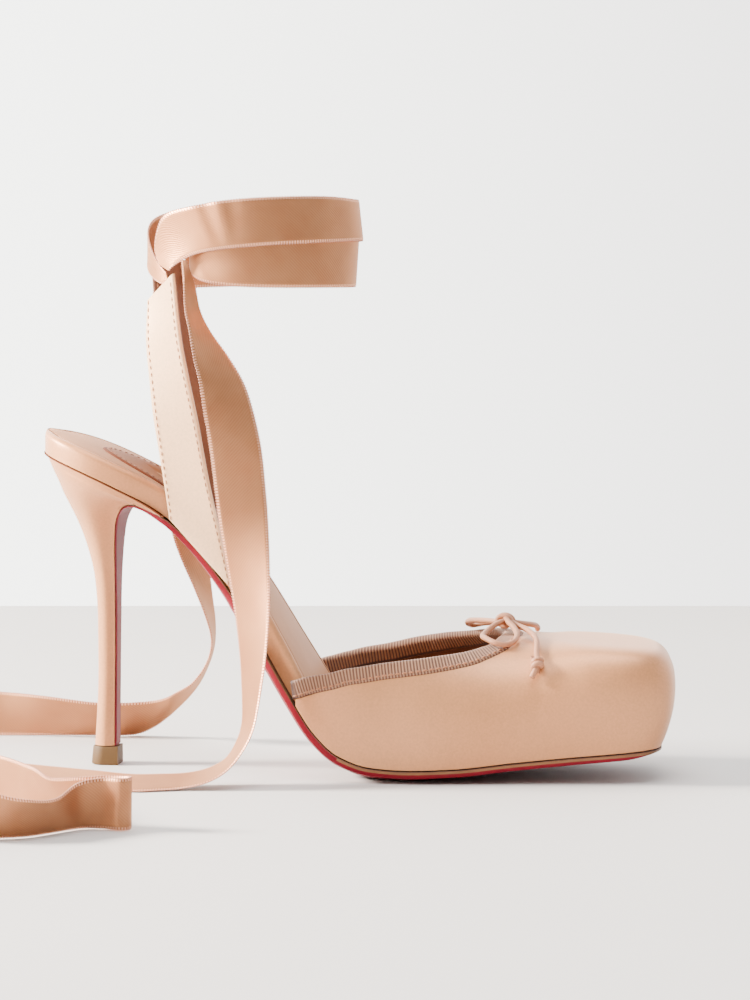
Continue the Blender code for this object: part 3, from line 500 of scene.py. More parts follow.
# %% Routes of the loose ends
# columns: x y z of one edge, then of the other
TAIL_OUTER = [
    (31.4, -29.5, 171, 33, -29.4, 170.9),
    (33.1, -35.4, 164, 36, -31.4, 163.4),
    (33.6, -36.4, 155.5, 37.6, -30, 154.5),
    (35.2, -37.6, 148.4, 40.8, -28.6, 147.5),
    (36.9, -38.2, 139, 46.4, -27.6, 139.5),
    (38.8, -38.2, 131, 51.9, -29.6, 131),
    (40.1, -37.6, 121.5, 55.4, -32, 122),
    (41.8, -36.6, 110, 58.3, -33.5, 110),
    (43.2, -35.6, 97, 59.8, -34, 97),
    (44.8, -35, 84, 60.9, -35.6, 86),
    (47.1, -34.2, 70, 61.9, -38.8, 72.5),
    (49.4, -33.8, 56.5, 62.5, -42.4, 59),
    (51.2, -34.5, 42.5, 62, -45.9, 44.5),
    (52.2, -36, 30.5, 60.6, -48.9, 31.5),
    (52.6, -38.2, 20, 58.8, -52.4, 20),
    (51, -40.2, 13.6, 55.8, -54.8, 13),
    (47.8, -42.4, 8.4, 50.9, -57, 6.6),
    (42.4, -44.4, 5.4, 44.6, -59, 2.8),
    (35.5, -46.6, 4, 37, -60, 1),
    (27, -48.2, 3.7, 29.5, -63, 0.6),
    (17, -49, 3.6, 20.5, -65.4, 0.5),
    (2, -41.5, 3.6, 8, -56.6, 0.5),
    (-10, -35.4, 3.5, -5, -50.6, 0.5),
    (-24, -29, 3.6, -19.4, -43.8, 0.5),
    (-37, -28.4, 5, -34.6, -42.6, 0.5),
    (-50, -37, 9, -43.6, -48, 0.5),
    (-55, -53, 13, -48.6, -57, 0.4),
    (-49, -71, 15.2, -45.6, -70, 0.4),
    (-34, -84, 15.6, -33, -82, 0.4),
    (-17, -95, 15.6, -17.4, -92.8, 0.4),
    (-1, -115, 14.8, -3.6, -111.4, 0.4),
    (7.4, -128.6, 13.6, 8.4, -121, 0.4),
    (17, -135.4, 14.8, 18.6, -130.4, 0.4),
    (28, -137, 15.8, 28.6, -135.4, 0.4),
    (35.2, -140.6, 16.2, 35, -140, 0.4),
    (33.8, -145.4, 16.2, 33.6, -145.6, 0.4),
    (26.6, -143.6, 16, 26.2, -142.8, 0.4),
    (20, -148, 14.8, 20.2, -143.4, 0.4),
    (15.4, -159.6, 11.6, 14.8, -151, 0.4),
    (7, -169.6, 13, 7.4, -161.4, 0.4),
    (-2, -171, 14.8, -1, -165.8, 0.4),
    (-13, -175, 15.4, -12, -171, 0.4),
]
TAIL_INNER = [
    (13.4, 17.4, 166.5, 19.6, 22.3, 166),
    (12.2, 20.6, 148, 22.6, 28, 148),
    (12, 27, 120, 25, 33, 120),
    (14.4, 31, 90, 27.6, 38, 88),
    (16.3, 33, 76, 28, 43, 73),
    (18.8, 36, 66.7, 26.9, 48, 63),
    (22.6, 38.6, 57, 26.7, 53, 53.6),
    (26.8, 40, 46, 27.4, 55.6, 43),
    (28.6, 41.4, 37.4, 26.8, 56.6, 33.6),
    (26.4, 43.6, 29.4, 23.6, 58.2, 25),
    (20.8, 46.6, 22, 19.4, 60.6, 18.2),
    (14.2, 49.6, 18, 12.8, 64.4, 11.2),
    (8.6, 58.6, 14.9, 5, 68.6, 4.6),
    (2, 62, 13.3, -2.4, 70.4, 0.8),
    (-8, 59.5, 12.9, -9, 67.4, 0.4),
    (-18, 58.6, 13.2, -19, 66.6, 0.4),
    (-34, 60, 14.8, -34, 64.8, 0.4),
    (-50, 63.4, 15.6, -50, 62.6, 0.4),
    (-62, 62.8, 15.6, -62, 61.6, 0.4),
]


def loose_end(name, rows, node):
    edges = threaded(rows, steps=8)
    piece, middle = ribbon_band(name, edges[:, :3], edges[:, 3:], node)
    print(name, "runs", round(run_of(middle)[-1]), "mm")


loose_end("ribbon_end_outer", TAIL_OUTER, "tail_outer")
loose_end("ribbon_end_inner", TAIL_INNER, "tail_inner")

# %% [markdown]
# ## The turns round the ankle
# Two turns lie one over the other and keep the round of an ankle. They are drawn in plan on an
# ellipse: each row gives the angle and height of both edges, how far the turn lies off the ellipse,
# and how far its upper edge leans. Where the upper turn is drawn round the side, soft upright
# creases run down from its edge.

# %% Ankle turns
ANKLE_X, ANKLE_LONG, ANKLE_WIDE = 51.0, 36.0, 32.0
CREASE_DEEP, CREASE_PITCH, CREASE_ANGLE, CREASE_SPREAD = 0.6, 15.0, -105.0, 12.0
# columns: low edge's angle and z, high edge's angle and z, out, lean
TURN_UPPER = [
    (-131, 167.4, -139, 169.5, 1.6, 0),
    (-127, 169.2, -144, 174.5, 1.6, 0),
    (-121, 171.2, -141, 181.5, 1.4, 0),
    (-114, 173, -134, 186, 1.2, 0),
    (-104, 174.3, -116, 188.6, 1, 0),
    (-90, 175.4, -95, 190.8, 0.7, -0.2),
    (-68, 176.4, -70, 191.8, 0.4, -0.6),
    (-40, 177, -40, 191.8, 0.2, -1),
    (-10, 177.2, -10, 190.6, 0, -1.4),
    (20, 176.6, 20, 190, 0, -1.4),
    (50, 175.4, 50, 189.4, 0, -1),
    (80, 174.2, 80, 188.8, 0, -0.6),
    (110, 173, 108, 188, 0, -0.3),
    (140, 172, 134, 187, 0, 0),
    (165, 170.6, 156, 185.6, 0, 0),
    (186, 168.6, 176, 182.6, 0, 0),
    (202, 165.6, 194, 177.6, -0.2, 0),
    (215, 163.2, 209, 171.4, -0.6, 0),
    (224, 162.6, 221, 166.6, -1, 0),
]
TURN_LOWER = [
    (-128, 167, -128, 173.5, -6, 0),
    (-121, 166, -122, 175, -3.4, 0),
    (-112, 164.2, -113, 177, -1.6, 0),
    (-98, 162.8, -99, 178.2, -1.2, 0),
    (-78, 162.2, -78, 178.4, -1.4, 0.2),
    (-50, 162, -50, 178.2, -1.8, 0.5),
    (-15, 161.8, -15, 177.8, -2.4, 1),
    (20, 161.6, 20, 177.4, -2.4, 1),
    (50, 161.4, 50, 177, -2, 0.7),
    (85, 161, 85, 176.6, -1.6, 0.3),
    (120, 160.6, 120, 176, -1.4, 0),
    (142, 160.4, 141, 175.4, -1.4, 0),
]


def on_ankle(angle, z, off):
    turn = np.radians(angle)
    x, y = ANKLE_X + (ANKLE_LONG + off) * np.cos(turn), (ANKLE_WIDE + off) * np.sin(turn)
    return np.stack([x, y, z], 1)


def creases(angle):
    """How far the creases stand out at each angle; they fade away from the side."""
    near = np.exp(-(((angle - CREASE_ANGLE) / CREASE_SPREAD) ** 2))
    return CREASE_DEEP * near * np.sin((angle - CREASE_ANGLE) * 2 * math.pi / CREASE_PITCH)


def ankle_turn(name, rows, node, fold=0.0):
    """One turn; fold is how much of the creases its upper edge takes."""
    low_angle, low_z, high_angle, high_z, out, lean = threaded(rows, steps=12).T
    low = on_ankle(low_angle, low_z, out)
    high = on_ankle(high_angle, high_z, out + lean + fold * creases(high_angle))
    ribbon_band(name, low, high, node)


ankle_turn("ribbon_turn_upper", TURN_UPPER, "ankle_turn_upper", fold=1.0)
ankle_turn("ribbon_turn_lower", TURN_LOWER, "ankle_turn_lower")

# %% [markdown]
# ## The straps
# Each strap is two layers, satin outside and leather inside, stitched together 1.5 mm from both
# edges. It grows out of the sole's edge and rises behind the foot to the ankle.

# %% Straps
STRAP_THICK, STRAP_COLUMNS, STRAP_STEP = 1.8, 15, 1.2
SEAM_INSET, STRAP_STITCH = 1.5, (1.7, 0.7, 0.22)
STRAP_CLEAR = 0.6  # a strap's middle stands at least so far over the feather line
# columns: back edge x y z, front edge x y z, from the sole's edge up
STRAP_OUTER = [
    (25.2, -20.2, 85.4, 46.8, -21.2, 61.9),
    (24, -21.2, 95, 43, -22, 80),
    (22.2, -22.2, 108, 39.3, -24.5, 99),
    (20.4, -22.8, 120, 36.2, -26.5, 118),
    (19.2, -22.4, 132, 33.2, -28, 133.5),
    (18, -20.8, 144, 30.8, -28.2, 147),
    (18.2, -18.8, 157, 28.6, -27.2, 166.6),
]
STRAP_INNER = [
    (29.5, 20.1, 81.3, 50, 20.8, 56),
    (27.5, 21, 90, 44, 22, 70),
    (25, 21.5, 100, 38, 24, 84),
    (22, 22, 112, 34.5, 25, 98),
    (18.5, 21, 125, 31.2, 25, 115),
    (15.4, 19, 140, 28, 24.5, 132),
    (13.8, 16.6, 154, 24.8, 23.6, 150),
    (13.2, 13.9, 168, 22.6, 22.3, 168),
    (13.4, 12.4, 180, 21.2, 20.7, 182),
]
# columns: x, height of the feather line, half width to the outer and to the inner side
BOTTOM = Table("x height outer inner", [
    (-21, 106.8, 23.4, 23.4),
    (-8, 102.2, 23.8, 23.8),
    (6, 96, 23.4, 23.6),
    (20, 88.4, 21.9, 22.4),
    (32, 78, 20.6, 20.8),
    (44, 63.6, 21.4, 20.2),
    (56, 45.2, 26, 21.4),
    (68, 26.6, 31.6, 25.4),
    (76, 15.4, 34.2, 29.6),
    (84, 8.7, 35.9, 33.6),
    (95, 5.2, 36.8, 37),
    (106, 4.5, 36.8, 38.2),
    (122, 5, 35, 37.6),
    (140, 6.9, 32, 34.8),
    (160, 9, 29, 31.4),
    (190, 11.6, 25.6, 27.4),
])


def strap(name, rows, node, outer_side):
    """A stitched strap; outer_side is -1 or 1, the side of the foot that its satin faces."""
    edges = threaded(rows, steps=16)
    back, front = edges[:, :3], edges[:, 3:]
    middle = (back + front) / 2
    middle[:, 2] = np.maximum(middle[:, 2], BOTTOM("height", middle[:, 0]) + STRAP_CLEAR)
    (middle, back, front), _ = even_steps([middle, back, front], STRAP_STEP)
    rings, share, out = strip_rings(back, front, middle, STRAP_THICK, STRAP_COLUMNS)
    satin_first = out[:, 1].mean() * outer_side > 0
    first_face = np.arange(len(share)) < STRAP_COLUMNS - 1
    solid = start_mesh()
    put_tube(solid, rings, np.where(first_face == satin_first, 0, 1))
    share_in = SEAM_INSET / np.linalg.norm(front - back, axis=1)[:, None]
    bulge = 4 * share_in * (1 - share_in) * (middle - (back + front) / 2)
    for edge, other in ((back, front), (front, back)):
        seam = edge + (other - edge) * share_in + bulge
        for face in (out, -out):
            sewn(solid, seam + face * STRAP_THICK / 2, face, STRAP_STITCH, 2)
    settle(name, solid, (STRAP_SATIN_PAINTED_BRIGHT, STRAP_LINING, SEWING_THREAD), (node,))


strap("strap_outer_satin", STRAP_OUTER, "strap_outer", -1)
strap("strap_inner_satin", STRAP_INNER, "strap_inner", 1)

# %% [markdown]
# ## The last
# A pump is stretched over a last, and its form follows from six sizes at each station: the two half
# widths, the heights of the bottom and the crest, and how square and how full the section is. Each
# section is a superellipse quarter from the feather line, where upper meets sole, to the crest. Round
# the square toe the sections fan out from one centre.

# %% The last's form
SEAT_BACK, SEAT_END, SEAT_DEEP, SEAT_ROUND = -20.4, 25.0, 24.0, 2.3
TOE_TIP, TOE_CENTRE, TOE_SQUARENESS = 187.2, 150.0, 5.0
TOE_SQUARE, TOE_BULGE, TOE_LEAN, TOE_TILT = 12.0, 3.2, 2.6, 0.045
TOE_SWING, SWING_FROM, SWING_TO = 0.12, 138.0, 178.0
FEATHER = 0.15  # the upper's edge over the feather line
LAST = Table("x crest square bulge", [
    (60, 104, 2.3, 0.6),
    (76, 84, 2.4, 1.2),
    (90, 70, 2.5, 1.6),
    (104, 59.5, 2.6, 2),
    (120, 50.5, 2.9, 2.2),
    (137, 46.3, 3.3, 2.4),
    (150, 45.7, 3.8, 2.6),
])


def cap(reach, squareness):
    """A superellipse's half width where it reaches from 0, full, to 1, closed."""
    return (1 - np.clip(reach, 0, 1) ** squareness) ** (1 / squareness)


def column_of(side):
    return "outer" if side < 0 else "inner"


def half_width(x, side):
    x = np.asarray(x, float)
    toe = cap((x - TOE_CENTRE) / (TOE_TIP - TOE_CENTRE), TOE_SQUARENESS)
    return BOTTOM(column_of(side), x) * toe * cap((SEAT_BACK + SEAT_DEEP - x) / SEAT_DEEP, SEAT_ROUND)


def toe_station(angle):
    share = math.cos(math.radians(angle)) ** (2 / TOE_SQUARENESS)
    return TOE_CENTRE + (TOE_TIP - TOE_CENTRE) * share


def swung(points):
    """Turns the toe's front towards the inner side, as the foot's own toes turn."""
    reach = np.clip((points[..., 0] - SWING_FROM) / (SWING_TO - SWING_FROM), 0, 1)
    points[..., 0] -= TOE_SWING * points[..., 1] * reach * reach * (3 - 2 * reach)
    return points


def wall_points(foot, crest_at, crest, square, bulge, lean, angles, inset):
    """One section of the last, from the feather line over the side to the crest."""
    base = BOTTOM("height", foot[0]) + FEATHER
    away = np.subtract(foot, crest_at)
    reach = math.hypot(*away)
    away = away / reach
    reach, rise = reach - inset, crest - base - inset
    cosine, sine = np.cos(angles), np.sin(angles)
    radius = ((np.abs(cosine) / reach) ** square + (np.abs(sine) / rise) ** square) ** (-1 / square)
    up = radius * sine
    share = np.clip(up / rise, 0, 1)
    out = radius * cosine * (1 + lean * share / reach) + bulge * 4 * share * (1 - share)
    z = base + up - TOE_TILT * out * away[0] * share
    return swung(np.stack([crest_at[0] + away[0] * out, crest_at[1] + away[1] * out, z], -1))


def side_section(x, side, angles, inset=0.0):
    shape = [LAST(name, x) for name in ("crest", "square", "bulge")]
    return wall_points((x, side * half_width(x, side)), (x, 0.0), *shape, 0.0, angles, inset)


def toe_section(outline_angle, side, angles, inset=0.0):
    x = toe_station(outline_angle)
    share = math.sin(math.radians(outline_angle)) ** (2 / TOE_SQUARENESS)
    y = side * BOTTOM(column_of(side), x) * share
    forward = (x - TOE_CENTRE) / math.hypot(x - TOE_CENTRE, y)
    crest, square, bulge = (LAST(name, TOE_CENTRE) for name in ("crest", "square", "bulge"))
    square = square * (1 - forward) + TOE_SQUARE * forward
    bulge = bulge * (1 - forward) + TOE_BULGE * forward
    return wall_points(
        (x, y), (TOE_CENTRE, 0.0), crest, square, bulge, TOE_LEAN * forward, angles, inset,
    )


print("ball width", BOTTOM("outer", 106) + BOTTOM("inner", 106), "mm, toe tip at", TOE_TIP)

# %% [markdown]
# ## The vamp
# The vamp is one piece of satin pulled over the last, with a leather lining inside. Its cut edge
# is a table too: for each rise angle round the foot, the station where the throat opens. The surface
# is finer where a section turns sharply, so that the square toe has a soft round edge and not facets.

# %% Vamp
WALL, WALL_ROWS = 1.8, 36
TURN_WEIGHT = 14  # a radian of turn gets as many points as this many millimetres
VAMP_EDGE = Table("angle outer inner", [
    (1.5, 68.5, 68.1),
    (22, 76, 74.2),
    (35, 86.5, 83.3),
    (40.5, 98.1, 98),
    (44.5, 113.1, 110.1),
    (52, 130.4, 127),
    (63, 139, 136.6),
    (90, 141.2, 141.2),
    (117, 139, 136.6),
])


def even_angles(section, last):
    """Rise angles from the feather line to the last one, closer together where the section turns."""
    fine = np.linspace(0, last, 240)
    legs = np.diff(section(np.radians(fine)), axis=0)
    lengths = np.linalg.norm(legs, axis=1)
    units = legs / lengths[:, None]
    turns = np.arccos(np.clip((units[1:] * units[:-1]).sum(1), -1, 1))
    run = np.concatenate([[0], np.cumsum(lengths + TURN_WEIGHT * np.concatenate([[0], turns]))])
    return np.radians(np.interp(np.linspace(0, run[-1], WALL_ROWS + 1), run, fine))


def vamp_stations(side):
    """Each station of one side as (section, last rise angle), from the waist to the toe's front."""
    rises = np.concatenate([np.linspace(4, 36, 15), np.linspace(37, 56, 24), np.linspace(58, 90, 18)])
    stations = [(VAMP_EDGE(column_of(side), rise), rise) for rise in rises]
    stations += [(x, 90) for x in (144.0, 145.5, 147.0, 148.5)]
    sides = [(functools.partial(side_section, x, side), rise) for x, rise in stations]
    return sides + [(functools.partial(toe_section, o, side), 90) for o in np.linspace(90, 3, 44)]


def vamp():
    columns = vamp_stations(-1) + vamp_stations(1)[::-1]
    outside, inside = [], []
    for section, last in columns:
        angles = even_angles(section, last)
        outside.append(section(angles))
        inside.append(section(angles, WALL))
    solid = start_mesh()
    grids = put_grid(solid, outside), put_grid(solid, inside)
    for slot, grid in enumerate(grids):
        put_faces(solid, grid, slot)
    for end in (0, -1):
        put_faces(solid, [grid[end] for grid in grids], 1)
    put_faces(solid, [[column[0] for column in grid] for grid in grids], 1)
    throat = [i for i, (_, last) in enumerate(columns) if last < 90]
    near = [i for i in throat if i < len(columns) // 2]
    far = throat[len(near) :]
    for span in (near + [near[-1] + 1], [far[0] - 1] + far):
        put_faces(solid, [[grid[i][-1] for i in span] for grid in grids])
    settle("vamp_satin", solid, (SATIN, BROWN_LINING), ("vamp",), weld=0.001)


vamp()

# %% [markdown]
# ## The collar
# The throat is bound with grosgrain, a ribbon whose thick weft makes ribs across it. The binding goes
# over the cut edge and down inside, so its section is a flat loop. Each rib is modelled: the section
# swells and shrinks by a tenth of a millimetre or so, once in every 1.05 mm along the edge.

# %% Collar's path over the last
COLLAR_GAP, COLLAR_WIDTH, COLLAR_PROUD = 0.3, 6.3, 0.4
WALK_STEPS, NUDGE = 6, 0.2
SEAM_RISES = (
    1.5, 5, 8, 12, 15, 18, 22, 25, 29, 32, 35, 36.5, 38, 39.5, 41,
    42.5, 44, 46, 48, 50.5, 53, 56, 59, 62, 66, 70, 74, 78, 82, 86,
)


def wall_place(x, angle, side, inset=0.0):
    return side_section(x, side, np.radians([angle]), inset)[0]


def walk(x, angle, side, towards, distance):
    """Moves a point over the last's wall by distance, along a direction given at its start."""
    for _ in range(WALK_STEPS):
        here = wall_place(x, angle, side)
        by_x = (wall_place(x + NUDGE, angle, side) - here) / NUDGE
        lean = -NUDGE if angle > 45 else NUDGE
        by_angle = (wall_place(x, angle + lean, side) - here) / lean
        leg = towards * distance / WALK_STEPS
        move, *_ = np.linalg.lstsq(np.stack([by_x, by_angle], 1), leg, rcond=None)
        x += move[0]
        angle = min(max(angle + move[1], 0.5), 90.0)
    return x, angle


def collar_lines():
    """Six lines along the binding: outside and inside of the wall at its low, middle and top."""
    outer, inner = ([(VAMP_EDGE(column_of(s), a), a, s) for a in SEAM_RISES] for s in (-1, 1))
    seam = outer + [(VAMP_EDGE("outer", 90), 90.0, -1)] + inner[::-1]
    points = np.array([wall_place(*place) for place in seam])
    outward = points - np.array([wall_place(*place, WALL) for place in seam])
    up = unit(np.cross(outward, np.gradient(points, axis=0)))
    rows = []
    for place, direction in zip(seam, up):
        for distance in (COLLAR_GAP, COLLAR_WIDTH / 2, COLLAR_WIDTH):
            x, angle = walk(*place, direction, distance)
            rows += [wall_place(x, angle, place[2], inset) for inset in (0.0, WALL)]
    return np.reshape(rows, (len(seam), 6, 3))


BINDING = collar_lines()
print("collar's seam", round(run_of(BINDING[:, 0])[-1]), "mm long")

# %% Collar
RIB_PITCH, RIB_HEIGHT = 1.05, 0.2
PLAIN_END, RIB_FADE = 0.6, 1.5  # the ribs begin so far from the binding's ends, and grow over so much
FLAT_STEPS, TURN_STEPS = 9, 7
# shares of the binding's height: its thin edge, the seam, its smooth edge inside, where it turns over
EDGE_TO, SEAM_AT, SMOOTH_TO, TURN_FROM = 0.08, 0.14, 0.16, 0.86
TURN_DEEP, TURN_HIGH, TURN_PROUD, INSIDE_PROUD = 0.7, 0.8, 0.6, 0.25
COLLAR_STITCH = (1.9, 0.35, 0.3)


def collar():
    """The binding's section: up the outside, over the cut edge and down inside."""
    smooth = threaded(BINDING.reshape(len(BINDING), 18), steps=6).reshape(-1, 6, 3)
    lines, at = even_steps([smooth[:, 2]] + [smooth[:, i] for i in range(6)], RIB_PITCH / 6)
    low, low_in, middle, _, top, top_in = lines[1:]
    out_low, out_top = unit(low - low_in), unit(top - top_in)
    fade = np.clip((np.minimum(at, at[-1] - at) - PLAIN_END) / RIB_FADE, 0, 1)
    rib = (0.5 + 0.5 * np.cos(2 * math.pi * at / RIB_PITCH)) ** 0.8
    swell = (RIB_HEIGHT * (rib - 0.5) * fade)[:, None]
    sections = []
    for share in np.linspace(0, TURN_FROM, FLAT_STEPS):
        base = low + (top - low) * share + (middle - (low + top) / 2) * 4 * share * (1 - share)
        out = unit(out_low * (1 - share) + out_top * share)
        proud = COLLAR_PROUD * (min(1, share / EDGE_TO) * 0.5 + 0.5)
        sections.append(base + out * (proud + swell))
    half_thick = np.linalg.norm(top - top_in, axis=1)[:, None] / 2 + COLLAR_PROUD * TURN_PROUD
    rise_way = unit(top - middle)
    round_middle = (top + top_in) / 2 - rise_way * TURN_DEEP
    for turn in np.radians(np.linspace(15, 165, TURN_STEPS)):
        out = out_top * math.cos(turn) * half_thick + rise_way * math.sin(turn) * TURN_HIGH
        sections.append(round_middle + out * (1 + swell / 2))
    ribbed = [1.0] * len(sections)
    for share in np.linspace(TURN_FROM, 0, FLAT_STEPS):
        ribbed.append(1.0 if share > SMOOTH_TO else 0.0)
        base = low_in + (top_in - low_in) * share
        sections.append(base - out_low * (INSIDE_PROUD + swell * ribbed[-1]))
    solid = start_mesh("rib")
    # the rib value on each point also sets the finish's painted shade in the grooves and painted
    # highlight on the ribs
    put_tube(solid, np.stack(sections, 1), rib=(rib * fade)[:, None] * ribbed)
    seam = low + (top - low) * SEAM_AT + out_low * (COLLAR_PROUD + RIB_HEIGHT / 2)
    sewn(solid, seam, out_low, COLLAR_STITCH, 1)
    settle("collar_grosgrain", solid, (GROSGRAIN, SEWING_THREAD), ("collar",), sharp=80)


collar()

# %% [markdown]
# ## The bent surface under the foot
# Sole, footbed and sock all follow one line, which runs from the toe up the arch to the seat. Each is
# drawn flat, as an outline of distance along that line and width, and then laid on the bent surface
# at its own height. That is how a maker cuts them too: flat, and bent over the last afterwards.


# %% Spine and outlines
class Spine:
    """A line of (x, z) points from toe to heel, and the surface that runs straight across it."""

    def __init__(self, points):
        self.points = np.array(points, float)
        legs = unit(np.diff(self.points, axis=0))
        ahead = unit(np.concatenate([legs[:1], legs[1:] + legs[:-1], legs[-1:]]))
        self.across = np.stack([ahead[:, 1], -ahead[:, 0]], 1)
        upright = np.clip((self.points[:, 0] - SEAT_BACK) / SEAT_DEEP, 0, 1)
        self.across[:, 0] *= np.where(self.across[:, 1] > 0.8, upright, 1)
        self.across = unit(self.across)
        self.run = run_of(self.points)

    def place(self, flat, n):
        """Puts plan points (run, y) on the surface, n over it."""
        on, over = (read_along(line, self.run, flat[:, 0]) for line in (self.points, self.across))
        x, z = (on + over * np.reshape(n, (-1, 1))).T
        return swung(np.stack([x, flat[:, 1], z], 1))


def ring_of(run, outer, inner):
    near, far = np.stack([run, -outer], 1), np.stack([run, inner], 1)
    return np.concatenate([near, far[::-1]])


def drawn_in(ring, amount):
    """The loop offset inwards by amount, one number or one for each point."""
    ahead = unit(np.roll(ring, -1, axis=0) - np.roll(ring, 1, axis=0))
    area = (ring[:, 0] * np.roll(ring[:, 1], -1) - np.roll(ring[:, 0], -1) * ring[:, 1]).sum()
    inward = (1 if area > 0 else -1) * np.stack([-ahead[:, 1], ahead[:, 0]], 1)
    return ring + inward * np.broadcast_to(amount, len(ring))[:, None]


def mirrored(values):
    return np.concatenate([values, values[::-1]])


STATIONS = np.concatenate([
    [toe_station(angle) for angle in np.arange(6, 90, 3.0)],
    np.arange(TOE_CENTRE, SEAT_END + 1, -2.0), [SEAT_END],
])

# %% [markdown]
# ## Sole and heel
# The leather sole is lacquered red underneath. Its edge is trimmed square, dyed dark brown and
# rubbed to a gold brown below, so three thin lines show all round the forefoot. At the back it thins
# to a flap that runs down the breast of the heel.

# %% Sole
SOLE_GAP, FLAP_DEPTH, FLAP_FROM = 0.3, 0.7, 0.2
# how far down the edge the dark and the gold lines reach, and where along the sole the gold one ends
DARK_LINE, GOLD_LINE, GOLD_END = 0.55, 1.35, 84
SOLE_DEPTH = Table("x edge centre", [
    (25, 2.3, 3),
    (44, 2.4, 4.6),
    (62, 2.4, 5.4),
    (80, 2.6, 6),
    (92, 2.8, 6),
    (112, 2.8, 5.4),
    (126, 2.7, 4),
    (150, 2.6, 3.4),
    (174, 2.5, 3),
    (188, 1, 1.2),
])
# columns: share of the way down, breast's x and z, back's x and z, half width, half width of the flap
HEEL = Table("run breast_x breast_z back_x back_z half flap", [
    (0.00, 25, 84.5, -20.1, 106.2, 23.5, 21.4),
    (0.06, 19.6, 87.4, -18.7, 102.9, 22.8, 20.2),
    (0.10, 16, 88.7, -17.4, 99.9, 21.6, 18.4),
    (0.14, 12.4, 89.3, -15.9, 96.7, 19.9, 16.3),
    (0.18, 9.2, 88.7, -14.3, 92.7, 17.6, 14),
    (0.22, 6.6, 86.6, -12.4, 88.8, 15, 11.8),
    (0.28, 4.7, 81.3, -9.6, 83, 11.6, 9.3),
    (0.36, 4, 72.8, -6.6, 75, 8.4, 7.2),
    (0.46, 3.7, 61, -3.9, 63.5, 6.1, 5.1),
    (0.56, 3.6, 49.5, -3, 50.5, 4.9, 4.3),
    (0.72, 3.4, 32, -2.9, 32, 4.4, 3.9),
    (0.88, 3.2, 16, -3.5, 16, 4.5, 3.9),
    (1.00, 3.1, 6.6, -4.2, 6.6, 4.6, 3.9),
])
HEEL_RUNS = np.concatenate([np.linspace(0.02, 0.3, 29), np.linspace(0.33, 1.0, 24)])


def sole_depth(name):
    """The sole's depth at its edge or centre, thinning to the flap down the heel."""
    depth = SOLE_DEPTH(name, STATIONS)
    flap = depth[-1] + (FLAP_DEPTH - depth[-1]) * np.minimum(1, HEEL_RUNS / FLAP_FROM)
    return mirrored(np.concatenate([depth, flap]))


def outsole():
    breast = np.stack([HEEL(name, HEEL_RUNS) for name in ("breast_x", "breast_z")], 1)
    bottom = np.stack([STATIONS, BOTTOM("height", STATIONS)], 1)
    spine = Spine(np.concatenate([bottom, breast]))
    flap = HEEL("flap", HEEL_RUNS)
    outer, inner = (np.concatenate([half_width(STATIONS, side), flap]) for side in (-1, 1))
    ring, half = ring_of(spine.run, outer, inner), mirrored((outer + inner) / 2)
    edge, centre = sole_depth("edge"), sole_depth("centre")
    # columns: inset, height under the feather line, finish down to the next level
    levels = [
        (0.0, -SOLE_GAP, 0),
        (0.0, -np.minimum(DARK_LINE, 0.4 * edge), 1),
        (0.0, -np.minimum(GOLD_LINE, 0.78 * edge), 2),
        (np.minimum(0.35, 0.08 * half), -0.9 * edge, 2),
        (np.minimum(1.1, 0.2 * half), -edge, 2),
        (0.12 * half, -0.8 * edge - 0.2 * centre, 2),
        (0.26 * half, -0.45 * edge - 0.55 * centre, 2),
        (0.42 * half, -0.15 * edge - 0.85 * centre, 2),
        (0.6 * half, -centre, 2),
    ]
    rings = [spine.place(drawn_in(ring, inset), n) for inset, n, _ in levels]
    for points in rings:
        points[:, 2] = np.maximum(points[:, 2], 0.0)
    forefoot = mirrored(np.concatenate([STATIONS > GOLD_END, np.full(len(HEEL_RUNS), False)]))
    slots = np.array([slot for _, _, slot in levels[:-1]])[:, None]
    solid = start_mesh()
    put_tube(solid, rings, np.where((slots == 1) & ~forefoot, 2, slots), (0, 2), quads=True)
    settle("outsole_lacquered", solid, (EDGE_DYE, EDGE_GOLD, SOLE_LACQUER), ("outsole",), sharp=35)


outsole()

# %% [markdown]
# The heel is a plastic stem wrapped in the same satin. A thin dark brown band runs round its top
# where it meets the seat. Its tip, the top piece, is a small block of rubber that takes the wear.

# %% Heel and top piece
# the dark seam's height, and how far the heel stays inside the seat's back and front
SEAT_SEAM, SEAT_LIP, SEAT_SHORT = 0.35, 0.3, 2.9
FULLEST = 0.58  # where each section is widest, from its back
TIP_FRONT, TIP_HALF = 4.4, 5.0
TIP_LEVELS = ((0.0, 4.6), (0.25, 4.95), (0.7, TIP_HALF), (5.9, 4.72), (6.3, 4.55))  # z, half width


def heel():
    shares = (1 - np.cos(np.linspace(0.035, 1, 26) * math.pi / 2)) ** 1.15
    rear = np.sqrt(1 - (1 - np.minimum(shares / FULLEST, 1)) ** 2)
    ahead = np.clip((shares - FULLEST) / (1 - FULLEST), 0, 1)
    x = SEAT_BACK + SEAT_LIP + (SEAT_END - SEAT_SHORT - SEAT_BACK) * shares
    seat = np.stack([x, half_width(x, -1), BOTTOM("height", x) - SOLE_GAP], 1)
    rings = [seat, seat - (0, 0, SEAT_SEAM)]
    for run in HEEL_RUNS:
        breast_x, breast_z, back_x, back_z, half, flap = (HEEL(name, run) for name in HEEL.names[1:])
        x, z = back_x + (breast_x - back_x) * shares, back_z + (breast_z - back_z) * shares
        y = half * rear + (flap - half) * ahead * ahead * (3 - 2 * ahead)
        rings.append(np.stack([x, y, z], 1))
    loops = [np.concatenate([ring * (1, -1, 1), ring[::-1]]) for ring in rings]
    slots = np.zeros((len(loops) - 1, 1))
    slots[0] = 1
    solid = start_mesh()
    put_tube(solid, loops, slots, (1, 0), quads=True)
    settle("heel_satin", solid, (SATIN, SEAM_DARK), ("heel",), sharp=60)


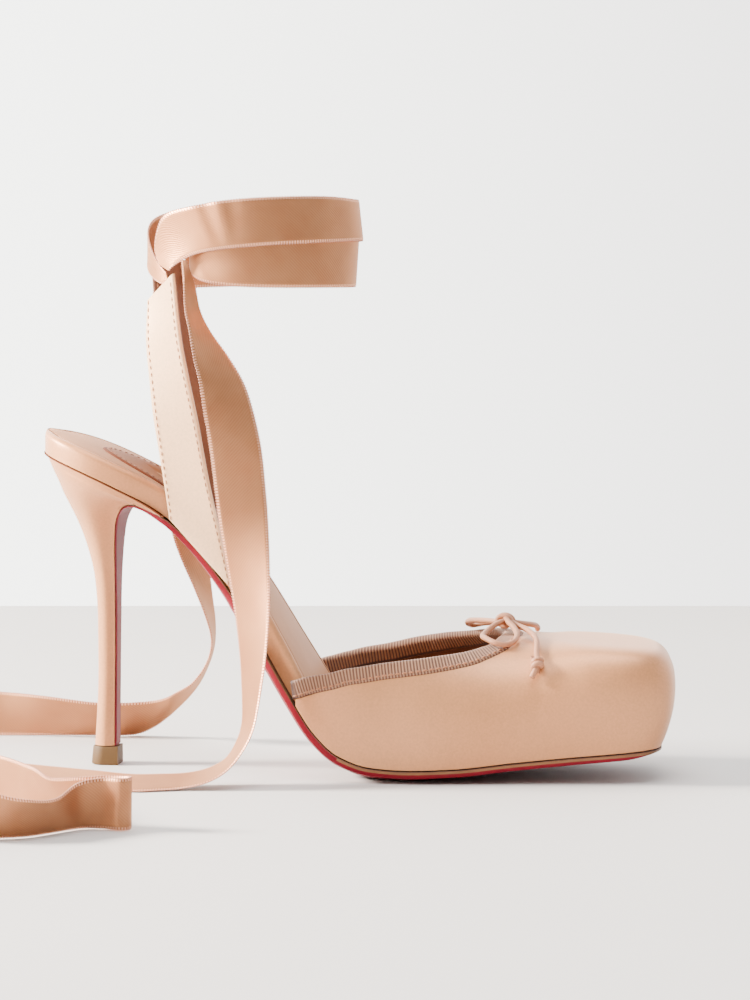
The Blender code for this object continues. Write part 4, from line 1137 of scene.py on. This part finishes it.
def top_piece():
    arc = np.radians(np.linspace(90, 270, 33))
    rings = []
    for z, half in TIP_LEVELS:
        back = [(TIP_FRONT - half + half * math.cos(a) * 0.95, half * math.sin(a), z) for a in arc]
        rings.append(back + [(TIP_FRONT - 0.1 * (TIP_HALF - half), side * half, z) for side in (-1, 1)])
    solid = start_mesh()
    put_tube(solid, rings)
    settle("top_piece_rubber", solid, (TIP_RUBBER,), ("top_piece",), sharp=35)


heel()
top_piece()

# %% [markdown]
# ## Footbed, sock and heel pad
# The footbed is a board wrapped in satin, with a soft rolled rim. The sock, a thin leather sheet,
# lies in the bed between the rims, and over its heel part a padded oval is stitched all round.

# %% Footbed and sock
SEAT_DEPTH = 7.2
TIGHT_WIDTH = 9  # where the bed is narrower than this, its rim is in proportion
FOOTBED = Table("x depth inset", [
    (-21, 7.2, 0.3),
    (10, 7.2, 0.3),
    (24, 7.2, 2.4),
    (50, 7.2, 2.4),
    (60, 6.8, 3.2),
    (78, 5, 3.2),
    (95, 4.2, 2.6),
    (190, 4, 2.6),
])
# columns: inset, height over the bed (none at its underside), finish up to the next level
RIM = [
    (0.0, None, 0), (0.0, -3.4, 0), (0.0, -2.0, 0), (0.15, -1.3, 0), (0.6, -0.6, 0), (1.2, -0.15, 0),
    (1.9, 0.0, 0), (2.35, -0.12, 1), (2.75, -0.38, 0), (3.0, -0.8, 0), (3.1, -1.2, 0),
]
SOCK = [(3.4, -1.0, 0), (3.35, -0.5, 0), (3.55, -0.1, 0), (4.0, 0.0, 0)]


def bed_outline():
    """Spine, outline, depth, inset and half width, from the toe to the round back of the seat."""
    turn = np.radians(np.linspace(0, 90, 27)[:-1])
    back = (SEAT_BACK + SEAT_DEEP * (1 - np.cos(turn) ** (2 / SEAT_ROUND)))[::-1]
    back = back[(back < 2.0) & (back > SEAT_BACK + 0.02)]
    x = np.concatenate([STATIONS, np.arange(SEAT_END - 2, 3.0, -2.0), back])
    spine = Spine(np.stack([x, BOTTOM("height", x)], 1))
    outer, inner = half_width(x, -1), half_width(x, 1)
    depth, inset = mirrored(FOOTBED("depth", x)), mirrored(FOOTBED("inset", x))
    return spine, ring_of(spine.run, outer, inner), depth, inset, mirrored((outer + inner) / 2)


BED = bed_outline()


def layered(name, levels, finishes, node):
    """A piece of the bed as stacked outlines."""
    spine, ring, depth, inset, half = BED
    tight = np.minimum(1, half / TIGHT_WIDTH)
    rings = [
        spine.place(drawn_in(ring, inset + more * tight), 0.0 if n is None else depth + n)
        for more, n, _ in levels
    ]
    solid = start_mesh()
    put_tube(solid, rings, [[slot] for _, _, slot in levels[:-1]], quads=True)
    settle(name, solid, finishes, (node,))


layered("footbed_satin", RIM, (SATIN, SEAM_DARK), "footbed")
layered("sock_leather", SOCK, (SOCK_LEATHER,), "sock_lining")


# %% Heel pad
PAD_BACK, PAD_FRONT, PAD_HALF = -3.0, 49.0, 15.2
# columns: inset, rise over the bed, finish up to the next level
PAD = [(0.0, -0.3, 2), (0.0, 0.25, 2), (0.3, 0.5, 2), (0.9, 0.65, 0), (3.0, 0.8, 0), (8.0, 0.9, 0)]
PAD_SEAM, PAD_STITCH = (1.6, 0.72), (1.6, 0.8, 0.22)
PAD_POINTS, PAD_UP = 160, (0.2, 0.0, 1.0)


def pad_outline(inset, rise):
    """The pad's oval outline on the bed."""
    spine = BED[0]
    reach = (PAD_FRONT - PAD_BACK) / 2 - inset
    turn = np.linspace(0, 2 * math.pi, PAD_POINTS, endpoint=False)
    x = (PAD_FRONT + PAD_BACK) / 2 + reach * np.cos(turn)
    run = np.interp(-x, -spine.points[:, 0], spine.run)
    return spine.place(np.stack([run, (PAD_HALF - inset) * np.sin(turn)], 1), SEAT_DEPTH + rise)


def heel_pad():
    solid = start_mesh()
    put_tube(solid, [pad_outline(*level[:2]) for level in PAD], [[slot] for _, _, slot in PAD[:-1]])
    seam = pad_outline(*PAD_SEAM)
    seam = np.concatenate([seam, seam[:1]])
    sewn(solid, seam, np.tile(PAD_UP, (len(seam), 1)), PAD_STITCH, 1)
    settle("heel_pad", solid, (PAD_LEATHER, PAD_THREAD, SEAM_DARK), (), sharp=60)


heel_pad()

# %% [markdown]
# ## The cord bow
# A thin leather cord runs in the binding and comes out at the middle of the throat. Each half makes
# one loop and one end, and a turn of cord holds them at the knot. Each half is one open curve with
# a round section, the usual way to draw a cord in Blender: its points can be moved and the section
# stays round. The outer end carries a small overhand knot.

# %% Cord bow
CORD = 0.95  # the cord's radius
WOUND_PITCH, TURN_POINTS = 1.8, 26
BOW_OUTER = [
    (136.4, -1.6, 48.9), (135.2, -1.8, 50.1), (134.3, -4, 50.5), (132.1, -7, 49.5),
    (130, -11.5, 47.8), (129.4, -15.5, 46.9), (131.2, -19.6, 46.5), (134.2, -22.3, 45.6),
    (137.6, -21.8, 45), (140.1, -18.8, 45.7), (140.6, -13.5, 47.2), (139.2, -8.2, 48.9),
    (137, -4.7, 50.4), (135.6, -1.6, 51.5), (136.8, -1, 51), (138.2, -2.4, 49.9),
    (140.4, -4.6, 49.2), (143.2, -8, 48.6), (145.9, -12.8, 47.4), (147.5, -17.8, 46),
    (148, -22.2, 44.4), (148.3, -25.8, 42.7), (148.7, -28, 41.3), (149, -29.7, 40),
    (148.5, -31, 38.2), (148, -31.8, 36.9), (147.4, -32.5, 35.5),
]
BOW_INNER = [
    (136.2, 0.2, 48.9), (134.6, 0.6, 50.1), (132.9, 2, 49.9), (128, 8, 49.6),
    (124, 14.5, 49), (121, 20.5, 48.2), (119.8, 24.5, 47), (121.4, 27.2, 46),
    (126.2, 23.4, 47.2), (131.2, 15.4, 48.2), (134.4, 8, 48.5), (135.6, 4, 49),
    (135.8, 1.4, 50), (137.4, 1.6, 50), (140, 5, 49.2), (142.4, 10, 48.4),
    (143.8, 15, 47.5), (144.2, 18.8, 46.5), (144, 21.2, 45.6),
]


def cord_curve(name, route, nodes, steps=8):
    """A length of cord; returns it with its start."""
    points = threaded(route, steps)
    curve = bpy.data.curves.new(name, "CURVE")
    curve.dimensions = "3D"
    curve.bevel_depth = CORD * MM
    curve.bevel_resolution = 5
    curve.use_fill_caps = True
    spline = curve.splines.new("POLY")
    spline.points.add(len(points) - 1)
    for target, point in zip(spline.points, points):
        target.co = (*(point * MM), 1)
    curve.materials.append(CORD_LEATHER)
    print(name, "is", round(run_of(points)[-1], 1), "mm long")
    return on_shoe(name, curve, nodes), tuple(points[0] * MM)


def cord_turns(name, centre, axis, ring, nodes, turns=2.0):
    """Turns of cord wound round an axis through centre, as a knot shows them."""
    axis = unit(np.array(axis, float))
    side = unit(np.cross(axis, (0.3, 0.2, 1.0)))
    up = np.cross(axis, side)
    turn = np.linspace(0, 2 * math.pi * turns, round(TURN_POINTS * turns))[:, None]
    along = (turn / turn[-1] - 0.5) * WOUND_PITCH * turns
    route = centre + along * axis + ring[0] * np.cos(turn) * side + ring[1] * np.sin(turn) * up
    return cord_curve(name, route, nodes, steps=2)[0]


outer_cord, outer_exit = cord_curve("cord_outer", BOW_OUTER, ("bow_loop_outer", "bow_end_outer"))
inner_cord, inner_exit = cord_curve("cord_inner", BOW_INNER, ("bow_loop_inner", "bow_end_inner"))
bow_wrap = cord_turns("cord_wrap", (135.2, -0.8, 50.7), (0.25, 1.0, 0.1), (2.2, 1.5), ("bow_knot",))
end_knot = cord_turns(
    "cord_end_knot", (148.9, -29.6, 39.8), (0.1, -0.75, -0.65), (1.3, 1.25), (), turns=2.4,
)

# %% [markdown]
# ## Floor, backdrop and light
# The floor is a plain pale slab and the backdrop a plain wall that glows with painted light, brighter
# on the left. The key light stands to the left and a little in front, so the shadows fall to the right
# and slightly away. A broad light from above and a card at the front left open the near side of the
# shoe, and a weak light on the right keeps its far edges from going dark.


# %% Stage
def plain_board(name, corners, code, roughness, glow=0.0, glow_right=None):
    """A plain board; a glowing one paints light on itself, dimmer to the right, as a wall is away from a
    window.
    """
    material, tree, shader = new_finish(name, Roughness=roughness, Specular_IOR_Level=0.25)
    cloud = noise(tree, add(tree, "TexCoord", "Object"), 6.0, 3.0)
    fill(tree, shader, {"Base Color": ramp(tree, cloud, (0.4, code, 0.985), (0.6, code))})
    # painted light: the board glows, brighter on the left
    if glow:
        across = add(tree, "SeparateXYZ", "X", {"Vector": add(tree, "TexCoord", "Generated")})
        shade = ramp(tree, across, (0.466, code), (0.534, glow_right))
        fill(tree, shader, {"Emission Color": shade, "Emission Strength": glow})
    mesh = bpy.data.meshes.new(name)
    mesh.from_pydata(corners, [], [(0, 1, 2, 3)])
    mesh.materials.append(material)
    put_object(name, mesh)


# the slab's near and far edges, from under the camera, and half its width
FLOOR_NEAR, FLOOR_DEEP, FLOOR_WIDE = -1.0, 1.975, 2.5
# how far off the wall stands, half its width, and its low and high edges
WALL_AWAY, WALL_WIDE, WALL_LOW, WALL_HIGH = 6.4, 8, -4, 7
ahead = np.array([-math.sin(CAMERA_TURN), math.cos(CAMERA_TURN)])
aside = np.array([ahead[1], -ahead[0]])


def from_camera(forward, right, z):
    return (*(np.array(CAMERA_PLACE[:2]) + ahead * forward + aside * right), z)


slab = [(FLOOR_NEAR, -1), (FLOOR_NEAR, 1), (FLOOR_DEEP, 1), (FLOOR_DEEP, -1)]
wall = [(-1, WALL_LOW), (1, WALL_LOW), (1, WALL_HIGH), (-1, WALL_HIGH)]
plain_board("floor", [from_camera(f, FLOOR_WIDE * s, 0.0) for f, s in slab], "CCC9C8", 0.65)
plain_board(
    "backdrop", [from_camera(WALL_AWAY, WALL_WIDE * s, z) for s, z in wall],
    "F8F9F4", 0.9, glow=5.3, glow_right="C6C4C3",
)


# %% Light
def area_light(name, place, aim, size, power, code):
    light = bpy.data.lights.new(name, "AREA")
    light.shape, light.size = "DISK", size
    light.energy, light.color = power, hex_colour(code)[:3]
    lamp = put_object(name, light)
    lamp.location = place
    x, y, z = np.subtract(place, aim)
    lamp.rotation_euler = (math.atan2(math.hypot(x, y), z), 0, math.atan2(y, x) + math.pi / 2)


area_light("key", (-1.45, -0.18, 0.8), (0.05, 0, 0.08), 0.5, 210, "FFF5E8")
area_light("top", (0.12, -0.35, 1.5), (0.08, 0, 0.05), 1.2, 30, "FFFFFF")
area_light("left_card", (-0.95, -0.95, 0.32), (0.03, 0, 0.1), 0.7, 16, "FFF3E2")
area_light("right", (1.5, 0.3, 0.6), (0.08, 0, 0.08), 1.0, 5, "FFFFFF")
world = bpy.data.worlds.new("pale_room")
world.use_nodes = True
sky = world.node_tree
depth = add(sky, "SeparateXYZ", "Y", {"Vector": add(sky, "TexCoord", "Generated")})
tone = ramp(sky, calc(sky, "MULTIPLY_ADD", depth, 0.5, 0.5), (0.1, "9A9896"), (0.6, "F7F6F3"))
fill(sky, sky.nodes["Background"], {"Color": tone, "Strength": 0.52})
bpy.context.scene.world = world
